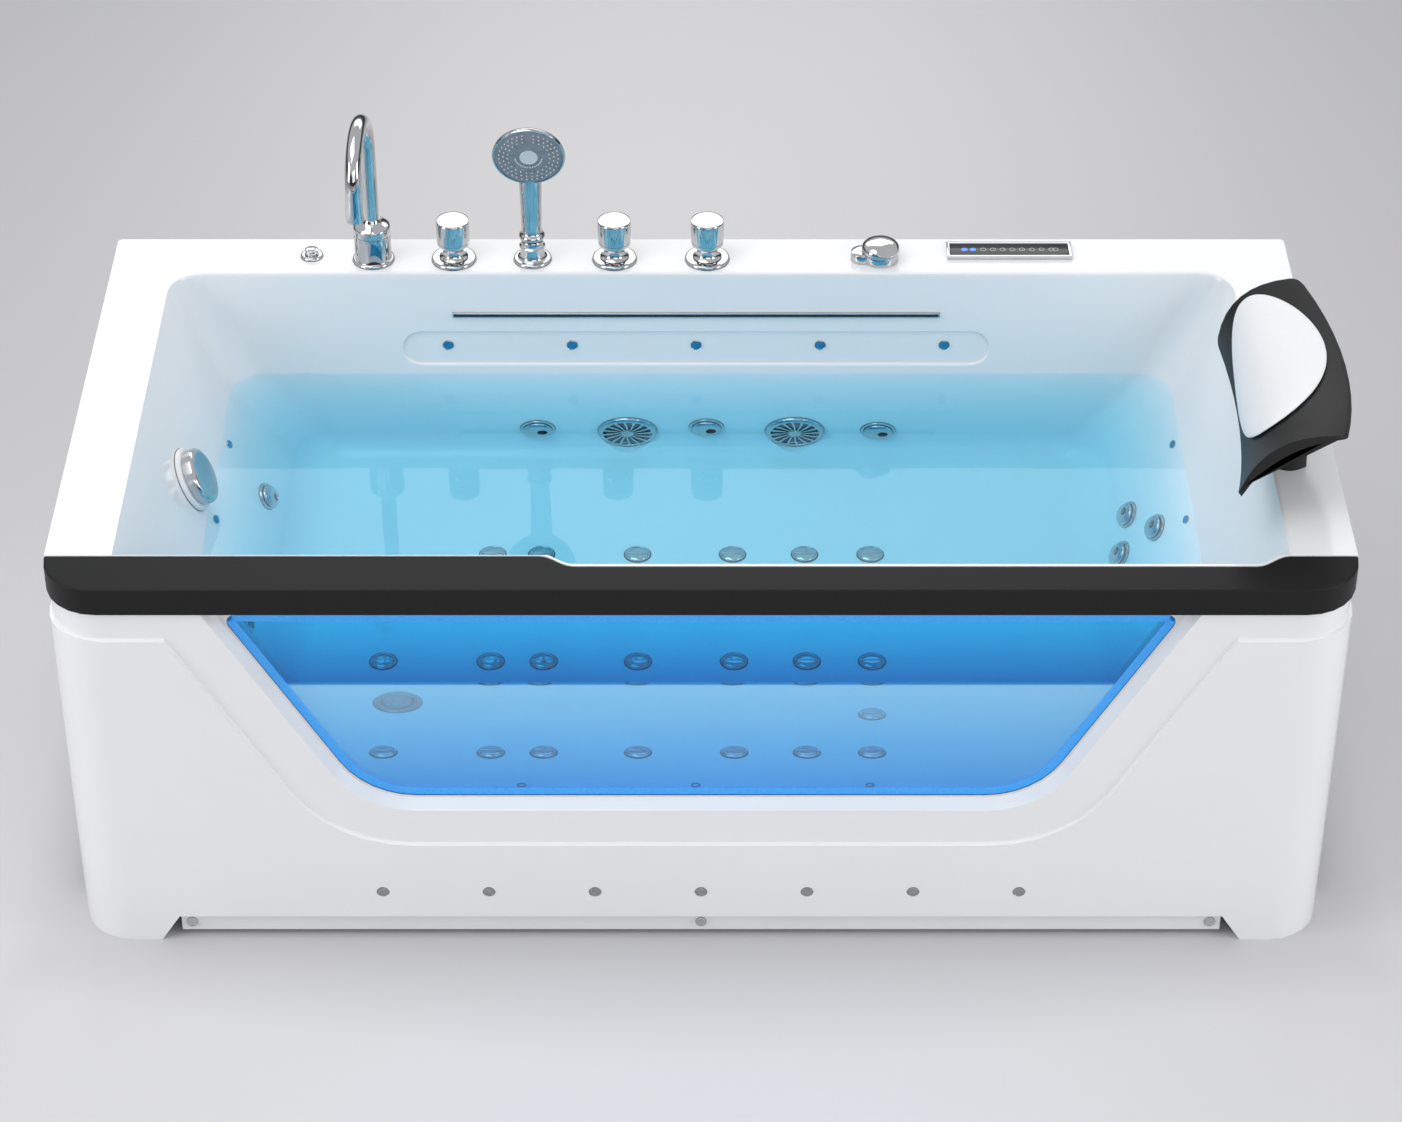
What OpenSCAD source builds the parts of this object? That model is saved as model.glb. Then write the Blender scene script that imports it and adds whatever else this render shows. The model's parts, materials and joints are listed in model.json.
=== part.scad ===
// Jetted bathtub with a front window, a black armrest and a deck of bath fittings.
// Millimetres. x runs along the tub, y from its front to its back, z is up.
// The origin lies on the ground under the middle of the tub.

/* [Tub] */
// Length over the two ends
tub_l = 1700; // [1680:5:1740]
// Width from the front to the back
tub_w = 850; // [840:2:870]
// Height of the deck above the ground
rim_h = 600; // [590:2:620]
// Thickness of the acrylic shell
shell_t = 8; // [6:0.5:9]
// Height of the turned-down rim and of the armrest
lip_h = 41; // [38:1:44]
// Radius of the two front corners
front_r = 72; // [66:1:80]
// Radius of the two back corners
back_r = 7; // [3:1:10]

/* [Basin] */
// Deck left at each end of the basin
end_deck = 82; // [78:1:86]
// Deck left behind the basin
back_deck = 85; // [83:1:88]
// Rounding of the rim's inner edge
rim_r = 7; // [5:1:9]
// Lean of the two end walls from upright, in degrees
end_slope = 24.2; // [23:0.2:25]
// Height of the basin's floor
floor_z = 188; // [184:1:192]
// Fillet between the walls and the floor
floor_r = 40; // [30:1:44]
// Plan radius of the basin's corners
basin_r = 48; // [42:1:54]
// Distance from the front face to the basin's front wall
front_wall = 57; // [56:0.5:58]
// How far the front wall leans in from rim to floor
front_lean = 8; // [6:0.5:9]
// Depth of the lamp recess in the back wall
recess_d = 4; // [2:0.5:5]
// Height of the lamp recess
recess_h = 55; // [50:1:60]
// Length of the lamp recess beyond its last lamp
recess_end = 65; // [50:1:80]
// Distance from the deck down to the lamp recess's middle
recess_drop = 130; // [126:1:134]

/* [Window] */
// Distance from the tub's end to the window's bottom corner
win_end = 400.5; // [390:0.5:410]
// Height of the window's bottom edge
win_z = 235; // [232:1:240]
// Distance from the deck down to the window's top edge
win_drop = 52.5; // [52:0.5:56]
// Lean of the window's sides from upright, in degrees
win_slope = 29.9; // [28:0.2:30.4]
// Radius of the window's bottom corners
win_r = 120; // [100:2:130]
// Radius of the window's top corners
win_top_r = 12; // [8:1:20]
// Thickness of the glass
glass_t = 8; // [6:0.5:9]
// Distance from the front face back to the glass
glass_d = 25; // [24:0.5:26]
// Width of the glass held on the shell
glass_lap = 5; // [4:0.5:6]
// Thickness of the seal in front of the glass
seal_t = 2; // [1:0.5:3]
// Diameter of a stud on the window's ledge
stud_d = 13; // [10:1:16]
// Height of a stud
stud_h = 5; // [3:0.5:7]
// Distance from the window's bottom corner in to the outer stud
stud_end = 215.5; // [200:0.5:230]

/* [Skirt] */
// Thickness of the skirt panels
skirt_t = 13; // [12:0.5:14]
// Depth of the step round the window band
step_d = 5; // [3:0.5:6]
// Distance from the deck down to the step line
step_drop = 81; // [76:1:90]
// Width of the window band at its sides
band_side = 69.5; // [60:1:72]
// Width of the window band at its bottom
band_low = 63.5; // [56:1:68]
// Slope height of the white chamfer round the window
chamfer_h = 8; // [6:0.5:10]
// Length of skirt that turns round each front corner
wrap_l = 100; // [90:2:120]
// Height of the skirt's bottom edge
foot_h = 42; // [38:1:46]
// Width of each front foot below the skirt
foot_w = 111; // [100:2:120]
// Width of the slope beside each foot
foot_slope = 27; // [20:1:32]
// Clear height below the plinth
plinth_gap = 10.7; // [8:0.5:14]
// Distance from the front face back to the plinth
plinth_d = 8; // [6:0.5:9]
// Thickness of the plinth
plinth_t = 12; // [10:1:14]
// Diameter of a plinth screw cap
cap_d = 16; // [12:1:18]
// Height of a screw cap
cap_h = 3; // [2:0.5:4]
// Distance from the plinth's end to its outer screw cap
cap_end = 15; // [12:1:30]

/* [Armrest] */
// Depth of the armrest at its ends
arm_w = 75; // [74:0.5:76]
// Depth of the armrest along its middle
arm_mid = 52.6; // [52:0.2:53.4]
// Thickness of the shell's edge behind the armrest
riser_t = 4; // [3:0.5:5]
// Length of each curved shoulder
shoulder_l = 45; // [40:1:50]
// Distance of the left shoulder from the middle
shoulder_left = 187; // [180:1:194]
// Distance of the right shoulder from the tub's end
shoulder_end = 110.5; // [109:0.5:114]

/* [Lamps] */
// Diameter of a lamp's rim
lamp_d = 17; // [15:0.5:18]
// Diameter of a lamp's barrel
lamp_bore = 11; // [9:0.5:12]
// Height of a lamp's rim
lamp_h = 2.5; // [1.5:0.5:3.5]
// Length of a lamp's barrel
lamp_l = 26; // [22:1:30]
// Spacing of the skirt lamps
skirt_lamp_gap = 144; // [138:1:150]
// Height of the skirt lamps
skirt_lamp_z = 86.5; // [82:0.5:92]
// Spacing of the waterfall lamps
fall_lamp_gap = 181; // [176:1:186]
// Height of the waterfall lamps above the recess's middle
fall_lamp_up = 4; // [0:1:8]
// Place of the end lamps along y
end_lamp_y = [-16, 167]; // [-200:1:200]
// Distance from the deck down to the end lamps
end_lamp_drop = 194; // [188:1:200]

/* [Waterfall] */
// Length of the waterfall's mouth
fall_l = 707; // [690:1:720]
// Height of the mouth's opening
fall_gap = 4; // [3:0.5:5]
// Distance from the deck down to the waterfall's mouth
fall_drop = 71; // [68:1:74]
// How far the mouth's lip stands out from the wall
fall_lip = 4; // [3:0.5:6]
// Height of the water channel behind the wall
fall_box_h = 24; // [20:1:26]
// Depth of the water channel behind the wall
fall_box_d = 14; // [10:1:16]

/* [Jets] */
// Diameter of a jet's flange
jet_d = 52; // [48:1:56]
// Height of a jet's flange
jet_h = 4.5; // [3.5:0.5:6]
// Diameter of a jet's barrel
jet_barrel = 39.4; // [37:0.2:41]
// Length of a jet's barrel behind the wall's face
jet_l = 45; // [42:1:48]
// Diameter of the turning nozzle's shank
nozzle_d = 30; // [28:1:32]
// Depth of the nozzle's pocket
nozzle_l = 14; // [12:1:18]
// Diameter of the nozzle's dome
dome_d = 44; // [40:1:47]
// Height of the nozzle's dome
dome_h = 7; // [6:0.5:9]
// Diameter of the nozzle's mouth
mouth_d = 13; // [10:0.5:14]
// Distance of the mouth from the dome's middle
mouth_off = 7; // [5:0.5:8]
// Diameter of a suction grille
grille_d = 88; // [84:1:92]
// Height of a suction grille
grille_h = 9; // [7:0.5:11]
// Number of slots in a grille
grille_n = 16; // [10:1:20]
// Diameter of a suction fitting's barrel
grille_barrel = 44; // [40:1:46]

/* [Floor fittings] */
// Diameter of an air jet's cap
floor_cap = 37; // [33:1:40]
// Height of an air jet's cap
floor_cap_h = 6; // [4:0.5:8]
// Diameter of an air jet's stem
floor_stem = 15; // [12:1:18]
// Diameter of the drain's flange
drain_d = 68; // [62:1:74]
// Height of the drain's flange
drain_h = 3; // [2:0.5:4]
// Diameter of the drain's plug
plug_d = 40; // [36:1:42]
// Diameter of the drain's outlet tail
tail_d = 40; // [38:1:42]
// Height of the tail's lower end above the ground
tail_z = 62; // [50:1:70]
// How far the plug lifts
plug_lift = 12; // [8:1:14]
// Diameter of the plug's stem
plug_stem = 8; // [6:0.5:10]
// Distance from the tub's left end to the drain
drain_end = 424; // [420:1:430]
// Distance from the tub's front face to the drain
drain_front = 417; // [410:1:424]

/* [Overflow] */
// Distance from the deck down to the overflow's middle
over_drop = 125; // [120:1:130]
// Place of the overflow along y
over_y = -5; // [-10:1:10]
// Diameter of the overflow's collar
over_collar = 92; // [86:1:98]
// Height of the collar
over_collar_h = 7; // [5:0.5:9]
// Diameter of the overflow's dial
over_dial = 80; // [74:1:84]
// Thickness of the dial
over_dial_h = 17; // [14:0.5:20]
// Diameter of the overflow's barrel
over_barrel = 50; // [46:1:54]
// Length of the barrel behind the wall's face
over_l = 40; // [36:1:44]
// Diameter of the dial's shaft
over_shaft = 10; // [8:0.5:12]
// Diameter of the overflow pipe
over_pipe = 28; // [24:1:30]

/* [Deck fittings] */
// Distance from the back edge to the row of valves
row_back = 54; // [52:1:55]
// Height of a fitting's flange
flange_h = 5; // [4:0.5:7]
// Diameter of the shank below the deck
shank_d = 26; // [22:1:27]
// Length of the shank below the deck
shank_l = 64; // [52:1:66]
// Running clearance on a turning shaft
turn_gap = 0.05; // [0.03:0.01:0.08]
// Clearance between pieces that only pass or face each other
pass_gap = 0.3; // [0.2:0.05:0.4]
// Place of the air button along x
button_x = -564; // [-580:1:-548]
// How far the air button stands behind the valves' row
button_shift = 8; // [4:0.5:9]
// Diameter of the air button's flange
button_flange = 32; // [30:1:36]
// Diameter of the air button
button_d = 20; // [18:1:22]
// How far the air button stands above the deck
button_h = 12; // [10:0.5:14]
// How far the air button travels
button_travel = 4; // [3:0.5:5]
// Place of the spout along x
spout_x = -474; // [-490:1:-458]
// Diameter of the spout's flange
spout_flange = 60; // [58:1:64]
// Diameter of the spout's body
spout_body = 53; // [50:1:55]
// Height of the fixed body above the deck
spout_base_h = 45; // [42:1:48]
// Height of the turning shoulder
spout_shoulder_h = 20; // [16:1:24]
// Diameter of the spout's tube
spout_tube = 23; // [20:1:24]
// Reach of the spout
spout_reach = 130; // [120:2:140]
// Height of the arch above the deck
spout_top = 266; // [250:2:280]
// Height of the spout's outlet above the deck
spout_end = 145; // [135:1:150]
// Diameter of the spout's outlet
spout_mouth = 26; // [24:1:29]
// How far the spout is turned at rest, in degrees
spout_turn = -4; // [-20:1:20]
// Diameter of the spout's pivot
pivot_d = 30; // [26:1:34]
// Length of the spout's pivot
pivot_l = 25; // [20:1:28]
// Place of the hot, cold and diverter valves along x
valve_x = [-357.6, -125.1, 9]; // [-400:0.1:100]
// Diameter of a valve's flange
valve_flange = 64; // [60:1:66]
// Height of a valve's neck
neck_h = 28; // [24:1:32]
// Diameter of a knob's cap
knob_d = 48; // [44:1:52]
// Height of a knob's cap
knob_h = 33; // [30:1:36]
// Diameter of a knob's neck
neck_d = 36; // [32:1:40]
// Diameter of a valve's stem
stem_d = 12; // [10:1:14]
// Length of the valve's stem in its body
stem_l = 30; // [24:1:34]
// Outer diameter of the inlet tail
inlet_d = 20.96; // [20:0.02:22]
// Length of the inlet tail
inlet_l = 40; // [30:1:44]
// Place of the hand shower along x
shower_x = -243.7; // [-260:0.1:-230]
// Diameter of the hand shower's flange
shower_flange = 54.6; // [52:0.2:58]
// Diameter of the hand shower's socket
socket_d = 32; // [30:1:34]
// Height of the socket above the deck
socket_h = 34; // [30:1:38]
// Diameter of the hand shower's tail
shower_tail = 17; // [15:1:18]
// Diameter of the hand shower's handle
handle_d = 34; // [30:1:36]
// Height of the handle's top above the deck
handle_top = 150; // [145:1:158]
// Diameter of the shower head
head_d = 104; // [100:1:108]
// Thickness of the shower head
head_t = 18; // [16:1:22]
// Height of the shower head's middle above the deck
head_z = 187; // [184:1:192]
// How far the shower head tips down, in degrees
head_tip = 12.6; // [8:0.2:16]
// Diameter of the shower head's face
face_d = 90; // [86:1:94]
// Thickness of the shower head's face
face_t = 3; // [2:0.5:4]
// Diameter of the O-ring's cord
ring_d = 3; // [2:0.5:3.5]
// Place of the air control along x
air_x = 259.4; // [250:0.1:270]
// Diameter of the air control's cap
air_cap = 55; // [52:1:58]
// Height of the air control's cap
air_cap_h = 15; // [13:0.5:18]
// Height of the air control's base
air_base_h = 15; // [12:0.5:17]
// Diameter of the base's larger lobe
lobe_big = 52; // [48:1:54]
// Diameter of the base's smaller lobe
lobe_small = 34; // [30:1:38]
// Distance between the two lobes
lobe_gap = 26; // [22:1:30]
// Left end of the control panel along x
panel_x = 356.5; // [350:0.5:362]
// Distance from the back edge to the control panel
panel_back = 15.5; // [14:0.5:18]
// Length of the control panel
panel_l = 181; // [176:1:190]
// Width of the control panel
panel_w = 41; // [38:1:43]
// Height of the control panel
panel_h = 6; // [4:0.5:8]
// Width of the panel's chrome frame
bezel_w = 6.5; // [5:0.5:8]
// Depth of the black face below the frame's top
face_drop = 1; // [0.5:0.5:1.5]

/* [Pillow] */
// Distance from the tub's right end to the pillow's middle
pillow_end = 86.5; // [84:0.5:90]
// Distance from the tub's front face to the pillow's middle
pillow_front = 332.4; // [320:0.2:350]
// Height of the pillow's middle above the deck
pillow_up = 91; // [88:0.5:94]
// Tilt of the saddle across, in degrees
pillow_tilt = 41; // [38:0.2:43]
// How much steeper the pillow leans at its back end, in degrees
pillow_twist = 5.5; // [3:0.5:7]
// Share by which the pillow is narrower at its back end
pillow_taper = 0.04; // [0.02:0.01:0.08]
// Share by which the pillow's outer side bulges
pillow_bulge = 0.2; // [0.1:0.02:0.24]
// Width of the pillow's frame
pillow_w = 153; // [148:1:156]
// Length of the pillow's frame
pillow_l = 370; // [350:2:390]
// Thickness of the pillow's frame
pillow_t = 17; // [14:1:18]
// Crown across the saddle
saddle_up = 33.5; // [28:0.5:36]
// Dip along the saddle
saddle_dip = 28.5; // [24:0.5:32]
// Width of the white pad
pad_w = 142; // [132:1:144]
// Length of the white pad
pad_l = 286; // [274:2:300]
// Turn of the white pad on the frame, in degrees
pad_turn = 4; // [0:0.5:8]
// Crown of the white pad
pad_h = 11; // [8:0.5:14]
// Height of the pad's seat over the frame's crown
pad_seat = 1; // [0.8:0.1:2]
// Diameter of the pillow's foot
pillow_foot_d = 54; // [48:1:60]
// Length of the foot along the tub
pillow_foot_l = 136; // [120:2:150]

/* [Machinery] */
// Side of the square frame tube
tube_w = 25; // [22:1:27]
// Height of the lower frame above the ground
frame_z = 60; // [56:1:64]
// Diameter of a levelling foot's pad
pad_d = 50; // [44:1:56]
// Height of a levelling foot's pad
pad_t = 12; // [10:1:16]
// Diameter of a levelling foot's spindle
spindle_d = 12; // [10:1:14]
// Thickness of the machine trays
tray_t = 4; // [3:0.5:5]
// Diameter of the pump's volute
volute_d = 156; // [148:2:162]
// Width of the pump's volute
volute_w = 62; // [56:1:68]
// Diameter of the pump's motor
motor_d = 126; // [118:2:132]
// Length of the pump's motor
motor_l = 200; // [180:2:210]
// Diameter of the pump's impeller
impeller_d = 110; // [100:2:114]
// Diameter of the pump's shaft
shaft_d = 14; // [12:1:16]
// Distance from the tub's front face to the pump's volute
pump_front = 305; // [295:1:313]
// Distance of both machines' axes from the tub's ends
machine_end = 115; // [112:1:120]
// Diameter of the air blower
blower_d = 136; // [128:2:142]
// Length of the air blower
blower_l = 150; // [140:2:156]
// Diameter of the water pipes
water_pipe = 32; // [28:1:34]
// Diameter of the air pipes
air_pipe = 22; // [18:1:24]
// Diameter of the tap pipes
tap_pipe = 12; // [10:1:12]
// Length, width and height of the control box
box_size = [130, 170, 110]; // [80:5:180]

/* [Hidden] */

$fn = 48;
corner_n = 6;
// One overrun serves every cut
over = 1;
// Radius of the basin's front corners as a share of its back ones
corner_share = 0.5;
// Elbows: reach as a share of the diameter and of the legs, steps and sides
elbow_share = 1.2;
near_share = 0.45;
straight_share = 0.999;
elbow_n = 4;
pipe_n = 12;

// The basin's opening at the rim
basin_x = tub_l / 2 - end_deck;
basin_y = tub_w / 2 - back_deck;
front_y = -tub_w / 2 + front_wall;
lip_z = rim_h - rim_r;
back_y = basin_y - rim_r;
arm_z = rim_h - lip_h;
panel_top = rim_h - lip_h;
skirt_in = -tub_w / 2 + skirt_t;
step_z = rim_h - step_drop;
wrap_y = -tub_w / 2 + wrap_l;

// The window's outline is given on its front face
win_top = rim_h - win_drop;
glass_front = -tub_w / 2 + glass_d;
glass_back = glass_front + glass_t;
win_mid_x = -7;
row_y = tub_w / 2 - row_back;
button_y = row_y + button_shift;
panel_y = tub_w / 2 - panel_back;
win_x = tub_l / 2 - win_end;
stud_gap = win_x - stud_end;
over_z = rim_h - over_drop;
recess_z = rim_h - recess_drop;
fall_z = rim_h - fall_drop;
fall_lamp_z = recess_z + fall_lamp_up;
end_lamp_z = rim_h - end_lamp_drop;
drain_at = [drain_end - tub_l / 2, drain_front - tub_w / 2];
pillow_at = [tub_l / 2 - pillow_end, pillow_front - tub_w / 2, rim_h + pillow_up];
pump_y = pump_front - tub_w / 2;
machine_x = tub_l / 2 - machine_end;

function wall_x(z) = basin_x - rim_r - (lip_z - z) * tan(end_slope);
function front_at(z) = front_y + front_lean * (rim_h - z) / (rim_h - floor_z);

// Wall, place along it and height above the floor, as shares of a jet's flange
jet_shares = [
    ["back", -4.65, 1.12], ["back", 0.15, 1.21], ["back", 5.04, 1],
    ["left", 2.5, 1.9], ["left", -3.27, 2.1],
    ["right", 2.02, 1.42], ["right", 0.46, 2.69], ["right", 0.69, 0.77]
];
jets = [for (j = jet_shares) [j[0], j[1] * jet_d, floor_z + j[2] * jet_d]];
// Place along the back wall and height above the floor, as shares of a grille
grille_shares = [[-1.24, 0.57], [1.58, 0.57]];
grilles = [for (g = grille_shares) [g[0] * grille_d, floor_z + g[1] * grille_d]];
// Floor jets, as shares of half the floor's length and of half the tub's width
floor_half = wall_x(floor_z);
row_shares = [0.158, -0.407];
floor_x_shares = [
    [-0.515, -0.394, -0.157, 0.078, 0.256, 0.418],
    [-0.757, -0.501, -0.375, -0.15, 0.079, 0.252, 0.408]
];
single_shares = [0.413, -0.113];
floor_rows = row_shares * tub_w / 2;
floor_x = floor_x_shares * floor_half;
floor_single = [single_shares[0] * floor_half, single_shares[1] * tub_w / 2];

// Points of an arc that rounds the corner b of a polygon
function unit(v) = v / norm(v);
function corner(a, b, c, r) =
    r <= 0 ? [b] :
    let (
        u = unit(a - b),
        w = unit(c - b),
        half = acos(u * w) / 2,
        o = b + unit(u + w) * r / sin(half),
        s = b + u * r / tan(half) - o,
        e = b + w * r / tan(half) - o,
        from = atan2(s[1], s[0]),
        sweep = (atan2(e[1], e[0]) - from + 540) % 360 - 180
    )
    [for (i = [0:corner_n]) o + r * [cos(from + sweep * i / corner_n), sin(from + sweep * i / corner_n)]];
function rounded(p, r) =
    let (n = len(p))
    [for (i = [0:n - 1]) each corner(p[(i + n - 1) % n], p[i], p[(i + 1) % n], r[i])];
function rect(x, y0, y1) = [[x, y0], [x, y1], [-x, y1], [-x, y0]];
function at_z(p, z) = [for (q = p) [q[0], q[1], z]];

// A closed solid through a stack of rings with equal counts
module lofted(rings) {
    n = len(rings[0]);
    m = len(rings);
    sides = [
        for (i = [0:m - 2], j = [0:n - 1])
            let (a = i * n + j, b = a + n, c = (i + 1) * n + (j + 1) % n, d = i * n + (j + 1) % n)
            each [[a, b, c], [a, c, d]]
    ];
    ends = [[for (j = [0:n - 1]) j], [for (j = [n - 1:-1:0]) (m - 1) * n + j]];
    polyhedron(points = [for (r = rings) each r], faces = concat(ends, sides));
}
module disc(d, z0, z1) {
    translate([0, 0, z0]) cylinder(d = d, h = z1 - z0);
}
// A disc whose top edge is broken by a chamfer
module stud(d, z0, z1, c) {
    disc(d, z0, z1 - c);
    translate([0, 0, z1 - c]) cylinder(d1 = d, d2 = d - 2 * c, h = c);
}
// A corner of a pipe's route drawn out into an arc
function elbow(a, b, c, d) =
    let (u = unit(a - b), w = unit(c - b))
    u * w < -straight_share ? [b] :
    let (
        half = acos(u * w) / 2,
        reach = min(d * elbow_share, norm(a - b) * near_share, norm(c - b) * near_share),
        o = b + unit(u + w) * reach / cos(half),
        s = b + u * reach - o,
        e = b + w * reach - o,
        turn = 180 - 2 * half
    )
    [for (i = [0:elbow_n]) o + (s * sin(turn * (1 - i / elbow_n)) + e * sin(turn * i / elbow_n)) / sin(turn)];
function route(p, d) = concat(
    [p[0]],
    [for (i = [1:1:len(p) - 2]) each elbow(p[i - 1], p[i], p[i + 1], d)],
    [p[len(p) - 1]]
);
function heading(p, i) = unit(
    i == 0 ? p[1] - p[0] :
    i == len(p) - 1 ? p[i] - p[i - 1] :
    unit(p[i + 1] - p[i]) + unit(p[i] - p[i - 1])
);
// Normals carried along the route without a twist
function square_to(n, t) = unit(n - (n * t) * t);
function normals(p, i, n) =
    let (m = square_to(n, heading(p, i)))
    i == len(p) - 1 ? [m] : concat([m], normals(p, i + 1, m));
module run(points, d) {
    p = route(points, d);
    t0 = heading(p, 0);
    n = normals(p, 0, abs(t0[2]) > near_share ? [1, 0, 0] : [0, 0, 1]);
    lofted([
        for (i = [0:len(p) - 1])
            let (b = cross(heading(p, i), n[i]))
            [for (k = [0:pipe_n - 1]) let (a = k * 360 / pipe_n) p[i] + (n[i] * cos(a) + b * sin(a)) * d / 2]
    ]);
}

// Frames whose z axis points out of a wall into the basin
module on_end(s, y, z) {
    translate([s * wall_x(z), y, z]) rotate([0, s * (end_slope - 90), 0]) children();
}
module on_back(x, z) {
    translate([x, back_y, z]) rotate([90, 0, 0]) children();
}
module on_wall(place) {
    if (place[0] == "back") on_back(place[1], place[2]) children();
    if (place[0] == "left") on_end(-1, place[1], place[2]) children();
    if (place[0] == "right") on_end(1, place[1], place[2]) children();
}
module on_floor() {
    for (row = [0:1], x = floor_x[row]) translate([x, floor_rows[row], floor_z]) children();
    translate([floor_single[0], floor_single[1], floor_z]) children();
}
module on_deck(x, y = row_y) {
    translate([x, y, rim_h]) children();
}

// Outlines
// The window, grown by side and low, up to the height top; x and z
function window(side, low, top, r_top) =
    let (
        lean = tan(win_slope),
        grow = side / cos(win_slope),
        x_at = function(z) win_x + (z - win_z) * lean + grow
    )
    rounded(
        [[x_at(win_z - low), win_z - low], [x_at(top), top], [-x_at(top), top], [-x_at(win_z - low), win_z - low]],
        [win_r + low, r_top, r_top, win_r + low]
    );
module window_prism(y0, y1, side, low, top, r_top = 0) {
    translate([0, y1, 0])
        rotate([90, 0, 0])
        linear_extrude(height = y1 - y0)
        polygon(window(side, low, top, r_top));
}
// The front skirt's plan, set in by inset
function skirt_plan(inset) =
    let (x = tub_l / 2, y = tub_w / 2)
    rounded(
        [
            [-x + inset, wrap_y], [-x + inset, -y + inset], [x - inset, -y + inset], [x - inset, wrap_y],
            [x - skirt_t, wrap_y], [x - skirt_t, -y + skirt_t], [-x + skirt_t, -y + skirt_t], [-x + skirt_t, wrap_y]
        ],
        [0, front_r - inset, front_r - inset, 0, 0, front_r - skirt_t, front_r - skirt_t, 0]
    );
// The armrest's back edge runs in a smooth step at each shoulder
function ease(t) = (1 - cos(180 * t)) / 2;
function shoulder(x0, x1, y0, y1) =
    [for (i = [0:corner_n]) [x0 + (x1 - x0) * i / corner_n, y0 + (y1 - y0) * ease(i / corner_n)]];
function armrest_plan(back) =
    let (
        x = tub_l / 2,
        y = -tub_w / 2,
        low = y + arm_w + back,
        mid = y + arm_mid + back,
        half = shoulder_l / 2,
        right = x - shoulder_end
    )
    concat(
        rounded([[-x, low], [-x, y], [x, y], [x, low]], [0, front_r, front_r, 0]),
        shoulder(right + half, right - half, low, mid),
        shoulder(-shoulder_left + half, -shoulder_left - half, mid, low)
    );

// One ring of the basin's skin, t outside its inner face
function basin_ring(z, x, y, inset, t) = at_z(
    rounded(
        rect(x - inset + t, front_at(z) + inset - t, y - inset + t),
        [for (r = basin_r * [corner_share, 1, 1, corner_share]) max(r - inset, rim_r / 2) + t]
    ),
    z
);
function skin(t) = concat(
    [
        for (a = [0, 45, 90])
            basin_ring(rim_h - rim_r * (1 - cos(a)), basin_x - rim_r * sin(a), basin_y - rim_r * sin(a), 0, t)
    ],
    [
        for (a = [0:22.5:90])
            let (z = floor_z + floor_r - (floor_r + t) * sin(a))
            basin_ring(z, wall_x(z), back_y, floor_r * (1 - cos(a)) + t * (1 - cos(a)), t)
    ]
);
module tub_skin() {
    inner = skin(0);
    outer = skin(shell_t);
    n = len(outer);
    lofted(concat([for (i = [n - 1:-1:0]) outer[i]], inner));
}

// Tub
fall_x = win_mid_x;
recess_l = 4 * fall_lamp_gap + 2 * recess_end;
plinth_half = tub_l / 2 - foot_w - foot_slope - pass_gap;
deck_front = -tub_w / 2 + arm_w + pass_gap;
shelf_z = arm_z - shell_t;
collar_w = 2 * glass_lap + chamfer_h / 2;
seal_over = 2 * glass_lap;
seal_front = glass_front - seal_t;
fall_lip_t = fall_lip / 2;
button_wall = flange_h / 2;
drain_barrel = plug_d + 2 * flange_h;

function deck_plan(inset) =
    let (x = tub_l / 2 - inset, y = tub_w / 2 - inset, low = deck_front - (inset > 0 ? over : 0))
    rounded([[-x, low], [x, low], [x, y], [-x, y]], [0, 0, back_r, back_r]);
function inner_plan(gap) =
    let (x = tub_l / 2 - skirt_t - gap, y = tub_w / 2 - skirt_t - gap, r = front_r - skirt_t - gap)
    rounded([[-x, deck_front + over], [-x, -y], [x, -y], [x, deck_front + over]], [0, r, r, 0]);

module deck_and_rim() {
    opening = rounded(
        rect(basin_x, deck_front - over, basin_y),
        [0, basin_r, basin_r, 0]
    );
    translate([0, 0, rim_h - shell_t])
        linear_extrude(height = shell_t)
        difference() {
            polygon(deck_plan(0));
            polygon(opening);
        }
    translate([0, 0, arm_z])
        linear_extrude(height = lip_h)
        difference() {
            polygon(deck_plan(0));
            polygon(deck_plan(shell_t));
        }
    translate([0, 0, shelf_z])
        linear_extrude(height = shell_t)
        intersection() {
            polygon(armrest_plan(riser_t + pass_gap));
            polygon(inner_plan(pass_gap));
        }
    translate([0, 0, shelf_z])
        linear_extrude(height = rim_h - shelf_z)
        intersection() {
            difference() {
                polygon(armrest_plan(riser_t + pass_gap));
                polygon(armrest_plan(pass_gap));
            }
            polygon(inner_plan(pass_gap));
        }
}
module hole(d) {
    disc(d + 2 * pass_gap, -3 * shell_t, over);
}
// Clears the fillet under a flange that stands close to the floor
module spot(d) {
    disc(d + 2 * pass_gap, turn_gap, d / 2);
}
module shell_bores() {
    for (j = jets) on_wall(j) {
        hole(jet_barrel);
        spot(jet_d);
    }
    for (g = grilles) on_back(g[0], g[1]) {
        hole(grille_barrel);
        spot(grille_d);
    }
    on_floor() hole(floor_stem);
    translate([drain_at[0], drain_at[1], floor_z]) hole(drain_barrel);
    on_end(-1, over_y, over_z) hole(over_barrel);
    for (i = [-2:2]) on_back(fall_x + i * fall_lamp_gap, fall_lamp_z) hole(lamp_bore);
    for (s = [-1, 1], y = end_lamp_y) on_end(s, y, end_lamp_z) hole(lamp_bore);
    for (x = concat([spout_x, shower_x, air_x], valve_x)) on_deck(x) hole(shank_d);
    on_deck(button_x, button_y) hole(button_d + 2 * button_wall);
    translate([fall_x, back_y, fall_z])
        cube([fall_l + 2 * pass_gap, 4 * shell_t, fall_gap + 2 * fall_lip_t + 2 * pass_gap], center = true);
}
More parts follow.
